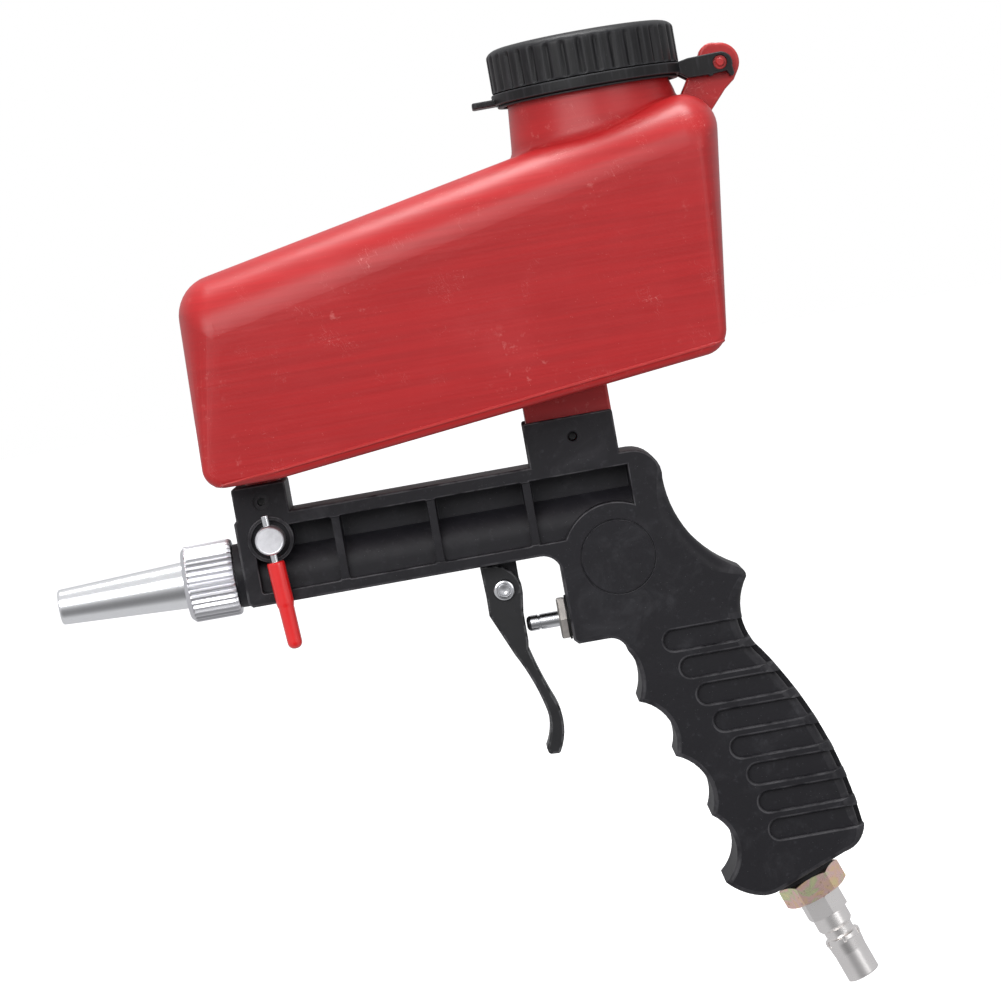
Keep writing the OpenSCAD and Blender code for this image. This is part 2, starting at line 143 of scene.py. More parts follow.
def eased(profile, radius, steps=3, closed=False):
    """The profile with its corners rounded to about the radius."""
    points = [Vector(p) for p in profile]
    last = len(points) - 1
    round_ones = []
    for i, point in enumerate(points):
        if not closed and i in (0, last):
            round_ones.append(point)
            continue
        back, ahead = points[i - 1] - point, points[(i + 1) % len(points)] - point
        turn = math.pi - back.angle(ahead)
        if turn < 0.3:
            round_ones.append(point)
            continue
        reach = min(radius * math.tan(turn / 2), 0.45 * back.length, 0.45 * ahead.length)
        a, b = point + back.normalized() * reach, point + ahead.normalized() * reach
        for k in range(steps + 1):
            t = k / steps
            round_ones.append(a * (1 - t) ** 2 + point * 2 * t * (1 - t) + b * t ** 2)
    return round_ones


# ---- solids ----

LAYOUTS = {
    "X": lambda u, v, h: (h, u, v),
    "Y": lambda u, v, h: (u, h, v),
    "Z": lambda u, v, h: (u, v, h),
}


def stack_rings(rings, closed=False):
    """A solid through rings of equally many points, made by extruding one face from ring to ring."""
    bm = bmesh.new()
    place = bm.verts.layers.int.new("place")
    for i, point in enumerate(rings[0]):
        bm.verts.new(point)[place] = i
    bm.verts.ensure_lookup_table()
    first = top = bm.faces.new(bm.verts[:])
    for ring in rings[1:]:
        below = top
        made = bmesh.ops.extrude_face_region(bm, geom=[below])["geom"]
        top = next(item for item in made if isinstance(item, bmesh.types.BMFace))
        if below is not first:
            bmesh.ops.delete(bm, geom=[below], context="FACES_ONLY")
        for vert in top.verts:
            vert.co = ring[vert[place]]
    if closed:
        bmesh.ops.delete(bm, geom=[first, top], context="FACES_ONLY")
        bmesh.ops.remove_doubles(bm, verts=bm.verts, dist=1e-4)
    bmesh.ops.recalc_face_normals(bm, faces=bm.faces)
    return bm


def stack(outline, levels, along="Y"):
    """A solid that follows the outline, where each level is (height, depth drawn in)."""
    rings = []
    for height, depth in levels:
        heights = height if isinstance(height, list) else [height] * len(outline)
        points = drawn_in(outline, depth)
        rings.append([Vector(LAYOUTS[along](p.x, p.y, h)) for p, h in zip(points, heights)])
    return stack_rings(rings)


def rim(face, towards, radius, steps=4):
    """Levels that round an edge off: from where the side ends to the face, which looks towards +1 or -1."""
    levels = []
    for k in range(steps + 1):
        turn = math.pi / 2 * k / steps
        depth, drop = 1 - math.cos(turn), 1 - math.sin(turn)
        if isinstance(radius, list):
            levels.append(([face - towards * r * drop for r in radius], [r * depth for r in radius]))
        else:
            levels.append((face - towards * radius * drop, radius * depth))
    return levels


def slab(outline, low, high, radius=0.4, along="Y", steps=3):
    """A plate with both rims rounded."""
    levels = rim(low, -1, radius, steps)[::-1] + rim(high, 1, radius, steps)
    return stack(outline, levels, along)


def block(low, high, radius=0.4):
    """A box with all its edges rounded."""
    outline = eased(rectangle((low[0], low[2]), (high[0], high[2])), radius * 1.6, 3, closed=True)
    return slab(outline, low[1], high[1], radius)


def turned(profile, at=(0, 0, 0), axis=(0, 0, 1), steps=64, easing=0.0):
    """A [radius, distance] profile spun about an axis. A profile that keeps off the axis makes a ring."""
    ring = profile[0][0] > 1e-6
    points = eased(profile, easing, closed=ring) if easing else [Vector(p) for p in profile]
    bm = bmesh.new()
    verts = [bm.verts.new((p[0], 0, p[1])) for p in points]
    pairs = list(zip(verts, verts[1:])) + ([(verts[-1], verts[0])] if ring else [])
    edges = [bm.edges.new(pair) for pair in pairs]
    bmesh.ops.spin(bm, geom=verts + edges, cent=(0, 0, 0), axis=(0, 0, 1), angle=2 * math.pi, steps=steps, use_merge=True)
    bmesh.ops.remove_doubles(bm, verts=bm.verts, dist=1e-4)
    bmesh.ops.recalc_face_normals(bm, faces=bm.faces)
    turn = Vector((0, 0, 1)).rotation_difference(Vector(axis)).to_matrix().to_4x4()
    bmesh.ops.transform(bm, matrix=Matrix.Translation(at) @ turn, verts=bm.verts)
    return bm


def rod(start, end, radius, steps=48, easing=0.0):
    """A round bar from start to end."""
    start, end = Vector(start), Vector(end)
    length = (end - start).length
    return turned([(0, 0), (radius, 0), (radius, length), (0, length)], start, end - start, steps, easing)


def toothed(count, levels, pattern, along="Z", centre=(0, 0), closed=False):
    """A round solid with grooves. Each level is (height, radius, groove depth), and pattern gives one tooth's depths."""
    total = count * len(pattern)
    rings = []
    for height, radius, depth in levels:
        ring = []
        for i in range(total):
            turn, reach = 2 * math.pi * i / total, radius - depth * pattern[i % len(pattern)]
            u, v = centre[0] + reach * math.cos(turn), centre[1] + reach * math.sin(turn)
            ring.append(Vector(LAYOUTS[along](u, v, height)))
        rings.append(ring)
    return stack_rings(rings, closed)


def joined(*meshes):
    """Several bmeshes as one, each still a shell of its own."""
    whole = bmesh.new()
    for bm in meshes:
        mesh = bpy.data.meshes.new("part")
        bm.to_mesh(mesh)
        bm.free()
        whole.from_mesh(mesh)
        bpy.data.meshes.remove(mesh)
    return whole


def temporary(bm, name="tool"):
    mesh = bpy.data.meshes.new(name)
    bm.to_mesh(mesh)
    bm.free()
    thing = bpy.data.objects.new(name, mesh)
    bpy.context.scene.collection.objects.link(thing)
    return thing


def carved(bm, tools, operation="DIFFERENCE"):
    """The solid with each tool cut from it, or joined to it."""
    base = temporary(bm, "base")
    helpers = [temporary(tool) for tool in tools]
    for helper in helpers:
        step = base.modifiers.new("step", "BOOLEAN")
        step.operation = operation
        step.solver = "EXACT"
        step.object = helper
    graph = bpy.context.evaluated_depsgraph_get()
    done = bmesh.new()
    evaluated = base.evaluated_get(graph)
    done.from_mesh(evaluated.to_mesh())
    evaluated.to_mesh_clear()
    for thing in [base, *helpers]:
        mesh = thing.data
        bpy.data.objects.remove(thing)
        bpy.data.meshes.remove(mesh)
    bmesh.ops.remove_doubles(done, verts=done.verts, dist=1e-4)
    if not done.faces:
        raise RuntimeError("a cut left nothing behind")
    return done


def welded(bm, tools):
    return carved(bm, tools, "UNION")


def node_copy(node):
    """A merged copy of a CAD node's mesh, in millimetres, with its flat faces made whole."""
    bm = bmesh.new()
    bm.from_mesh(frame["nodes"][node].data)
    bmesh.ops.scale(bm, vec=(1 / MM,) * 3, verts=bm.verts)
    bmesh.ops.remove_doubles(bm, verts=bm.verts, dist=1e-3)
    bmesh.ops.dissolve_limit(bm, angle_limit=math.radians(1), verts=bm.verts, edges=bm.edges)
    return bm


def mark_edges(bm):
    """Stores how much each face is part of a rounded outer edge: narrow, and turning away from its neighbours."""
    edge = bm.faces.layers.float.new("edge")
    for face in bm.faces:
        around = sum(e.calc_length() for e in face.edges)
        turning = sum(max(0.0, e.calc_face_angle_signed(0.0)) * e.calc_length() for e in face.edges) / max(around, 1e-6)
        narrow = max(0.0, 1 - face.calc_area() / max(around, 1e-6) / 0.55)
        face[edge] = min(1.0, turning / 0.35) * narrow


def finish_piece(name, bm, body, material, replaces=(), sharp=32.0, weighted=True):
    """Makes the bmesh, which is in millimetres, a finished piece that rides on a body."""
    bmesh.ops.remove_doubles(bm, verts=bm.verts, dist=1e-4)
    mark_edges(bm)
    bmesh.ops.scale(bm, vec=(MM,) * 3, verts=bm.verts)
    mesh = bpy.data.meshes.new(name)
    bm.to_mesh(mesh)
    bm.free()
    mesh.shade_smooth()
    mesh.set_sharp_from_angle(angle=math.radians(sharp))
    mesh.materials.append(material)
    piece = bpy.data.objects.new(name, mesh)
    bpy.context.scene.collection.objects.link(piece)
    if weighted:
        normals = piece.modifiers.new("normals", "WEIGHTED_NORMAL")
        normals.keep_sharp = True
    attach(piece, body)
    if replaces:
        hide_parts(*replaces)
    return piece


def dress(node, material):
    """Gives a CAD node that stays its finish."""
    mesh = frame["nodes"][node].data
    mesh.materials.clear()
    mesh.materials.append(material)


# ---- finishes ----


def display(red, green, blue):
    """Scene colour of a colour given as it is seen, 0 to 255."""
    def linear(c):
        c /= 255
        return c / 12.92 if c <= 0.04045 else ((c + 0.055) / 1.055) ** 2.4

    return (linear(red), linear(green), linear(blue), 1.0)


class Wire:
    """A node's output socket. Sums and products of wires add Math nodes."""

    def __init__(self, finish, socket):
        self.finish = finish
        self.socket = socket

    def math(self, operation, *values):
        inputs = dict(enumerate(values))
        return self.finish.node("ShaderNodeMath", {"operation": operation}, inputs)

    def __add__(self, other):
        return self.math("ADD", self, other)

    __radd__ = __add__

    def __sub__(self, other):
        return self.math("SUBTRACT", self, other)

    def __rsub__(self, other):
        return self.math("SUBTRACT", other, self)

    def __mul__(self, other):
        return self.math("MULTIPLY", self, other)

    __rmul__ = __mul__

    def __truediv__(self, other):
        return self.math("DIVIDE", self, other)

    def __rtruediv__(self, other):
        return self.math("DIVIDE", other, self)

    def __pow__(self, other):
        return self.math("POWER", self, other)


class Finish:
    """A procedural material under construction."""

    def __init__(self, name, roughness=0.5, metallic=0.0, **plain):
        self.material = bpy.data.materials.new(name)
        self.material.use_nodes = True
        self.tree = self.material.node_tree
        self.tree.nodes.clear()
        self.shader = self.tree.nodes.new("ShaderNodeBsdfPrincipled")
        out = self.tree.nodes.new("ShaderNodeOutputMaterial")
        self.tree.links.new(self.shader.outputs[0], out.inputs[0])
        self.shader.inputs["Roughness"].default_value = roughness
        self.shader.inputs["Metallic"].default_value = metallic
        for socket, value in plain.items():
            self.shader.inputs[socket.replace("_", " ")].default_value = value
        self.place = self.node("ShaderNodeTexCoord", output="Object")

    def node(self, kind, settings=None, inputs=None, output=0):
        """Adds a node: its settings first, then its sockets' values or links."""
        made = self.tree.nodes.new(kind)
        for key, value in (settings or {}).items():
            if key == "stops":
                self.set_stops(made.color_ramp, value)
            else:
                setattr(made, key, value)
        for key, value in (inputs or {}).items():
            if isinstance(value, Wire):
                self.tree.links.new(value.socket, made.inputs[key])
            else:
                made.inputs[key].default_value = value
        return Wire(self, made.outputs[output])

    @staticmethod
    def set_stops(ramp, stops):
        for extra in range(len(stops) - len(ramp.elements)):
            ramp.elements.new(0.5 + 0.01 * extra)
        for element, (position, colour) in zip(ramp.elements, stops):
            element.position = position
            element.color = colour

    def stretched(self, scale, turn=(0, 0, 0)):
        """Object coordinates, turned and then stretched by a scale for each axis."""
        turned_place = self.node("ShaderNodeMapping", {"vector_type": "POINT"}, {"Vector": self.place, "Rotation": turn})
        return self.node("ShaderNodeVectorMath", {"operation": "MULTIPLY"}, {0: turned_place, 1: scale})

    def noise(self, scale, detail=2.0, rough=0.5, place=None, distortion=0.0):
        """Smooth noise from 0 to 1. Scale counts patches to the metre."""
        inputs = {"Vector": place or self.place, "Scale": scale, "Detail": detail, "Roughness": rough, "Distortion": distortion}
        return self.node("ShaderNodeTexNoise", None, inputs, "Fac")

    def cells(self, scale, place=None):
        """Distance to the nearest of many scattered points."""
        return self.node("ShaderNodeTexVoronoi", None, {"Vector": place or self.place, "Scale": scale}, "Distance")

    def between(self, value, low, high):
        """0 up to low and 1 from high on, with a soft step between."""
        inputs = {"Value": value, "From Min": low, "From Max": high}
        return self.node("ShaderNodeMapRange", {"interpolation_type": "SMOOTHSTEP", "clamp": True}, inputs)

    def blend(self, amount, first, second, mode="MIX"):
        """One colour laid over another."""
        settings = {"data_type": "RGBA", "blend_type": mode, "clamp_factor": True}
        return self.node("ShaderNodeMix", settings, {0: amount, 6: first, 7: second}, 2)

    def edge(self):
        """How much the surface is a rounded outer edge."""
        return self.node("ShaderNodeAttribute", {"attribute_name": "edge"}, None, "Fac")

    def flecks(self, scale, size, share=0.5):
        """Small round specks, on only a share of the surface."""
        dots = 1 - self.between(self.cells(scale), size * 0.6, size)
        return dots * self.between(self.noise(scale * 0.37, 1.0), share, share + 0.04)

    def scratches(self, scale, turn, thin=0.012, share=0.62):
        """Fine straight marks that run one way, in patches."""
        lines = self.noise(1.0, 1.0, 0.4, self.stretched(scale, turn), 0.4)
        near = 1 - self.between(self.node("ShaderNodeMath", {"operation": "ABSOLUTE"}, {0: lines - 0.5}), 0.0, thin)
        return near * self.between(self.noise(70, 2.0), share, share + 0.12)

    def done(self, colour, roughness=None, bump=None, strength=0.2, distance=0.0002, metallic=None):
        """Links what varies to the shader and returns the material."""
        for socket, value in (("Base Color", colour), ("Roughness", roughness), ("Metallic", metallic)):
            if isinstance(value, Wire):
                self.tree.links.new(value.socket, self.shader.inputs[socket])
            elif value is not None:
                self.shader.inputs[socket].default_value = value
        if bump is not None:
            relief = self.node("ShaderNodeBump", None, {"Height": bump, "Strength": strength, "Distance": distance})
            self.tree.links.new(relief.socket, self.shader.inputs["Normal"])
        return self.material


def body_plastic(tone):
    """Matt charcoal plastic with a fine moulded grain, light dust flecks and paler worn edges."""
    f = Finish("body_plastic", Specular_IOR_Level=0.3)
    cloud = f.noise(38, 4.0, 0.6)
    rub = f.noise(420, 3.0, 0.6)
    shade = f.blend(cloud, [c * 0.8 for c in tone[:3]] + [1], [c * 1.25 for c in tone[:3]] + [1])
    shade = f.blend(f.between(rub, 0.58, 0.8) * 0.25, shade, display(70, 70, 76))
    smudge = f.between(f.noise(48, 5.0, 0.68, None, 0.6), 0.5, 0.76)
    shade = f.blend(smudge * 0.42, shade, display(62, 62, 66))
    wear = f.edge() * f.between(f.noise(160, 3.0, 0.6), 0.3, 0.62)
    shade = f.blend(wear * 0.6, shade, display(104, 103, 106))
    shade = f.blend(f.flecks(1300, 0.14, 0.6) * 0.4, shade, display(128, 128, 132))
    shade = f.blend(f.scratches((2600, 2600, 260), (0.3, 0.5, 0.2), 0.01, 0.6) * 0.3, shade, display(100, 100, 104))
    rough = 0.46 + 0.14 * cloud + 0.1 * smudge - 0.1 * wear
    grain = f.noise(2300, 2.0, 0.6) + 0.6 * f.noise(700, 2.0, 0.5)
    return f.done(shade, rough, grain, 0.28, 0.00012)


def hopper_plastic(tone):
    """Satin red polyethylene with faint flow streaks, scuffs, dust and small dents, and a painted highlight along its
    rounded edges.
    """
    f = Finish("hopper_plastic", Specular_IOR_Level=0.45)
    deep, pale = [c * 0.86 for c in tone[:3]] + [1], [tone[0] * 1.08, tone[1] * 1.5 + 0.01, tone[2] * 1.5 + 0.01, 1]
    streaks = f.noise(1.0, 4.0, 0.6, f.stretched((16, 16, 420)))
    cloud = f.noise(24, 4.0, 0.6)
    shade = f.blend(f.between(streaks, 0.3, 0.72), deep, tone)
    shade = f.blend(f.between(cloud, 0.45, 0.8) * 0.5, shade, pale)
    scuffs = f.between(f.noise(330, 4.0, 0.7), 0.58, 0.74) * f.between(f.noise(26, 2.0), 0.5, 0.66)
    shade = f.blend(scuffs * 0.3, shade, display(226, 138, 132))
    marks = f.scratches((900, 900, 90), (0.2, 0.35, 0.0), 0.008, 0.56) + f.scratches((110, 110, 1500), (0.0, 0.12, 0.3), 0.008, 0.6)
    shade = f.blend(marks * 0.4, shade, display(232, 150, 145))
    shade = f.blend(f.flecks(900, 0.13, 0.6) * 0.5, shade, display(222, 130, 124))
    # Painted highlight: every rounded edge is lightened evenly, standing in for light catching the fillets.
    shade = f.blend(f.edge() * 0.3, shade, display(214, 90, 86))
    rough = 0.31 + 0.13 * cloud + 0.14 * scuffs
    relief = f.noise(55, 2.0) * 1.4 + f.noise(1.0, 2.0, 0.5, f.stretched((30, 30, 700))) * 0.35 + f.noise(1500, 1.0) * 0.08
    return f.done(shade, rough, relief, 0.3, 0.0004)


def lid_plastic(tone):
    """Black satin plastic with pale rubbed streaks, and a painted highlight on its rounded edges and the ribs' crests.
    """
    f = Finish("lid_plastic", Specular_IOR_Level=0.3)
    cloud = f.noise(60, 3.0, 0.6)
    shade = f.blend(cloud, [c * 0.8 for c in tone[:3]] + [1], [c * 1.3 for c in tone[:3]] + [1])
    rub = f.between(f.noise(1.0, 3.0, 0.6, f.stretched((700, 700, 60))), 0.5, 0.72)
    shade = f.blend(rub * 0.16, shade, display(90, 90, 95))
    # Painted highlight: every rounded edge and rib crest is lightened evenly.
    shade = f.blend(f.edge() * 0.22, shade, display(96, 96, 100))
    shade = f.blend(f.flecks(1300, 0.13, 0.6) * 0.4, shade, display(120, 120, 122))
    return f.done(shade, 0.36 + 0.16 * cloud + 0.1 * rub, f.noise(1900, 2.0) + f.noise(300, 2.0) * 0.5, 0.22, 0.0001)


def machined(name, tone, roughness, along, lines=2600.0, stain=0.12, bright=1.0, **plain):
    """Turned metal with fine tool lines across an axis and faint handling stains."""
    f = Finish(name, metallic=1.0, **plain)
    stretch = [40.0, 40.0, 40.0]
    stretch[along] = lines
    rings = f.noise(1.0, 2.0, 0.6, f.stretched(stretch))
    cloud = f.noise(130, 4.0, 0.65)
    shade = f.blend(f.between(cloud, 0.35, 0.75) * stain, tone, [c * 0.55 for c in tone[:3]] + [1])
    shade = f.blend(f.between(rings, 0.55, 0.8) * 0.25, shade, [min(1.0, c * 1.15 * bright) for c in tone[:3]] + [1])
    shade = f.blend(f.flecks(1500, 0.14, 0.6) * 0.3, shade, [c * 0.3 for c in tone[:3]] + [1])
    rough = roughness + 0.12 * cloud + 0.06 * rings
    return f.done(shade, rough, rings + 0.5 * f.noise(900, 2.0), 0.12, 0.00008)


def cast_metal(name, tone, roughness=0.42):
    """Plated or cast metal without tool lines, with a painted highlight on its rounded edges."""
    f = Finish(name, metallic=1.0)
    cloud = f.noise(240, 4.0, 0.65)
    shade = f.blend(f.between(cloud, 0.4, 0.7) * 0.45, tone, [c * 0.5 for c in tone[:3]] + [1])
    # Painted highlight: every rounded edge is brightened evenly.
    shade = f.blend(f.edge() * 0.5, shade, [min(1.0, c * 1.5) for c in tone[:3]] + [1])
    return f.done(shade, roughness + 0.2 * cloud, f.noise(1500, 3.0), 0.2, 0.0001)


def yellow_zinc():
    """Yellow passivated zinc, which shifts between straw, pink and green, with a painted highlight on its rounded
    edges.
    """
    f = Finish("yellow_zinc", metallic=1.0)
    tint = f.noise(95, 3.0, 0.55, None, 1.2)
    stops = [(0.3, display(240, 226, 168)), (0.42, display(247, 212, 176)), (0.5, display(245, 206, 202)),
             (0.58, display(218, 226, 178)), (0.68, display(246, 234, 186))]
    shade = f.node("ShaderNodeValToRGB", {"stops": stops}, {"Fac": tint}, "Color")
    # Painted highlight: every rounded edge is lightened evenly.
    shade = f.blend(f.edge() * 0.5, shade, display(236, 222, 196))
    shade = f.blend(f.between(f.noise(700, 3.0), 0.6, 0.75) * 0.4, shade, display(120, 100, 70))
    return f.done(shade, 0.2 + 0.16 * f.noise(300, 3.0), f.noise(1200, 2.0), 0.15, 0.00008)


def soft_rubber(name, tone):
    """Dull rubber or foam with a bloom on it."""
    f = Finish(name, Specular_IOR_Level=0.3)
    bloom = f.noise(500, 3.0, 0.6)
    shade = f.blend(bloom, tone, [min(1.0, c * 1.6 + 0.006) for c in tone[:3]] + [1])
    return f.done(shade, 0.62 + 0.2 * bloom, f.noise(2200, 2.0), 0.3, 0.0001)


def black_paint(name, tone, worn=0.45):
    """Satin black paint over metal, greyer where fingers and edges rub it."""
    f = Finish(name, Specular_IOR_Level=0.4)
    cloud = f.noise(120, 4.0, 0.6)
    shade = f.blend(cloud, tone, [c * 1.9 for c in tone[:3]] + [1])
    wear = f.edge() * f.between(f.noise(350, 3.0, 0.65), 0.4, 0.6)
    shade = f.blend(wear * worn, shade, display(140, 140, 142))
    shade = f.blend(f.flecks(1300, 0.13, 0.6) * 0.4, shade, display(120, 120, 120))
    return f.done(shade, 0.34 + 0.18 * cloud, f.noise(1600, 2.0), 0.18, 0.00008)


def red_vinyl(tone):
    """Glossy dipped vinyl with a soft uneven skin."""
    f = Finish("red_vinyl", Coat_Roughness=0.08, Coat_Weight=0.8)
    cloud = f.noise(180, 3.0, 0.6)
    shade = f.blend(cloud, [c * 0.85 for c in tone[:3]] + [1], tone)
    shade = f.blend(f.flecks(1300, 0.13, 0.62) * 0.4, shade, display(240, 120, 110))
    return f.done(shade, 0.24 + 0.14 * cloud, f.noise(260, 2.0), 0.25, 0.0002)


class Finishes:
    """Every finish of the gun, made once and then shared."""

    made = {}

    @classmethod
    def get(cls, name):
        if name not in cls.made:
            colours = bpy.context.scene.blast_colours
            makers = {
                "body_plastic": lambda: body_plastic((*colours.body, 1.0)),
                "hopper_plastic": lambda: hopper_plastic((*colours.hopper, 1.0)),
                "lid_plastic": lambda: lid_plastic((*colours.lid, 1.0)),
                "red_vinyl": lambda: red_vinyl((*colours.sleeve, 1.0)),
                "aluminium": lambda: machined("aluminium", display(252, 253, 255), 0.12, 0, 3200, 0.04),
                "aluminium_nut": lambda: machined("aluminium_nut", display(228, 228, 232), 0.24, 0, 2200, 0.08),
                "polished_steel": lambda: machined("polished_steel", display(222, 223, 226), 0.1, 1, 3000),
                "faced_steel": lambda: machined("faced_steel", display(236, 236, 240), 0.34, 1, 900, 0.6),
                "nickel_plate": lambda: machined("nickel_plate", display(246, 243, 241), 0.2, 2, 2600),
                "yellow_zinc": yellow_zinc,
                "dull_zinc": lambda: cast_metal("dull_zinc", display(218, 212, 206), 0.34),
                "brass": lambda: machined("brass", display(214, 180, 110), 0.25, 0),
                "die_cast": lambda: cast_metal("die_cast", display(176, 178, 182), 0.45),
                "rubber": lambda: soft_rubber("rubber", display(26, 26, 27)),
                "black_paint": lambda: black_paint("black_paint", display(23, 23, 25)),
                "black_screw": lambda: black_paint("black_screw", display(26, 26, 28), 0.6),
                "gasket": lambda: soft_rubber("gasket", display(206, 202, 190)),
            }
            cls.made[name] = makers[name]()
        return cls.made[name]


# ---- body halves ----


def body_outline():
    """The body's side view, anticlockwise, from the front end of the barrel's underside."""
    top, bottom, front = 110.4, 79.0, -165.0
    return (
        [Vector((front + 1.5, bottom))]
        + arc((-61.5, bottom), (-55, bottom - 6.5), 1.9)
        + [Vector((-55, 48)), Vector((-53.5, 46.5))]
        + arc((-43, 46.5), (-37, 41), 1.6)
        + arc((-37, 41), (-36.3, 22.6), 2.5)
        + arc((-36.3, 22.6), (-26.9, 1.4), 5.2, 12)
        + arc((-26.9, 1.4), (-18, -21.5), 5.4, 12)
        + arc((-18, -21.5), (-17.2, -45.8), 6.2, 12)
        + arc((-17.2, -45.8), (-4.5, -52.8), -1.2)
        + arc((-4.5, -52.8), (3.3, -51), -0.6, 4)
        + arc((26, -42.4), (34.5, -34.3), -1.8)
        + arc((34.5, -34.3), (10.3, 31.5), -4.4, 16)
        + arc((10.3, 31.5), (8.4, 59.5), 4.7, 12)
        + arc((8.4, 59.5), (6.5, 63), -0.7, 4)
        + arc((6.5, 63), (-14.6, 98.5), 5.4, 14)
        + arc((-14.6, 98.5), (-24.5, top), -3.6)
        + [Vector((-24.5, top)), Vector((front + 1.5, top)), Vector((front, top - 1.5)), Vector((front, bottom + 1.5))]
    )


def edge_rounding(outline, softness):
    """How far each point's rim is rounded: most down the back of the grip, little along the barrel."""
    cusp = Vector((7.8, 61))
    radii = []
    for point in outline:
        behind = point.x > point.y * -0.42 - 4 and point.y > -40
        if point.y > 104 or not (behind or point.y < 42):
            radius = 0.8
        elif behind:
            radius = 0.8 + 4.2 * min(1.0, (104 - point.y) / 16) * min(1.0, 0.25 + (point.y + 40) / 14)
        else:
            radius = 1.6
        radii.append(min(radius, 1.8 + 0.3 * (point - cusp).length) * softness)
    return radii


def pocket(outline, floor):
    """A cutter for a side pocket: its mouth flares a little and its floor has a soft corner."""
    mouth = -HALF_W
    levels = [(mouth - 2, -0.5), (mouth, -0.5), (mouth + 0.15, -0.2), (mouth + 0.5, 0.0), (floor - 0.6, 0.25),
              (floor - 0.15, 0.4), (floor, 0.8)]
    return stack(outline, levels)


def bays():
    """The four side pockets between the ribs. The last one bends round the pivot boss over the trigger."""
    low, high = 83.2, 105.6
    disc = Vector((-34.6, 74.3))
    reach = 19.3
    rib = 2.7
    walls = [-159.2, -129.8, -96, -62.1, -26]
    shapes = []
    for i in range(3):
        left = walls[i] + (rib / 2 if i else 0)
        shapes.append(eased(rectangle((left, low), (walls[i + 1] - rib / 2, high)), 1.0, 4, closed=True))
    left = walls[3] + rib / 2
    start = math.pi - math.asin((low - disc.y) / reach)
    end = math.acos((walls[4] - disc.x) / reach)
    curve = [disc + reach * Vector((math.cos(t), math.sin(t))) for t in (start + (end - start) * k / 20 for k in range(21))]
    shapes.append([Vector((left, low))] + curve + [Vector((walls[4], high)), Vector((left, high))])
    return shapes


def grip_slots():
    """Rounded slots that run to the back of the grip."""
    height, pitch = 7.1, 10.3
    shapes = []
    for k in range(8):
        x = -24.1 + 4.2 * min(k, 5) + 2.15 * max(k - 5, 0)
        z = 41.85 - pitch * k
        middle = Vector((x + height / 2, z))
        nose = [middle + height / 2 * Vector((math.cos(t), math.sin(t))) for t in
                (math.pi / 2 + math.pi * i / 14 for i in range(15))]
        shapes.append(nose + [Vector((x + 60, z - height / 2)), Vector((x + 60, z + height / 2))])
    return shapes


def body_bores():
    """The channels and seats inside a half."""
    def inlet(u):
        return INLET_TOP + INLET_AXIS * u

    spindle, pivot = (SPINDLE_X, SPINDLE_Z), (PIVOT_X, PIVOT_Z)
    across = lambda at, r: rod((at[0], -20, at[1]), (at[0], 20, at[1]), r)  # noqa: E731
    return [
        rod((-169, 0, BARREL_Z), (-162, 0, BARREL_Z), 9.5),
        rod((-163, 0, BARREL_Z), (-140.9, 0, BARREL_Z), 6.55),
        rod((-142, 0, BARREL_Z), (-29, 0, BARREL_Z), 6.1),
        rod((SPINDLE_X, -9.1, SPINDLE_Z), (SPINDLE_X, 9.1, SPINDLE_Z), 7),
        across(spindle, 5.3),
        rod((SPINDLE_X, 0, BARREL_Z), (SPINDLE_X, 0, 108.5), 5.75),
        rod((SPINDLE_X, 0, 108.4), (SPINDLE_X, 0, 123), 6.45),
        rod((-41, 0, PLUNGER_Z), (-41, 0, BARREL_Z), 4.1),
        rod((-56, 0, PLUNGER_Z), (-14, 0, PLUNGER_Z), 8.1),
        rod(inlet(-60), inlet(39), 5.1),
        rod(inlet(37.9), inlet(58), 8.05),
        across(pivot, 2.07),
    ]


def left_of_middle(bm):
    """The part of a solid on the left of the plane where the halves meet."""
    bmesh.ops.bisect_plane(bm, geom=bm.verts[:] + bm.edges[:] + bm.faces[:], plane_co=(0, 0, 0), plane_no=(0, 1, 0),
                           clear_outer=True)
    bmesh.ops.holes_fill(bm, edges=[e for e in bm.edges if e.is_boundary])
    bmesh.ops.recalc_face_normals(bm, faces=bm.faces)
    return bm


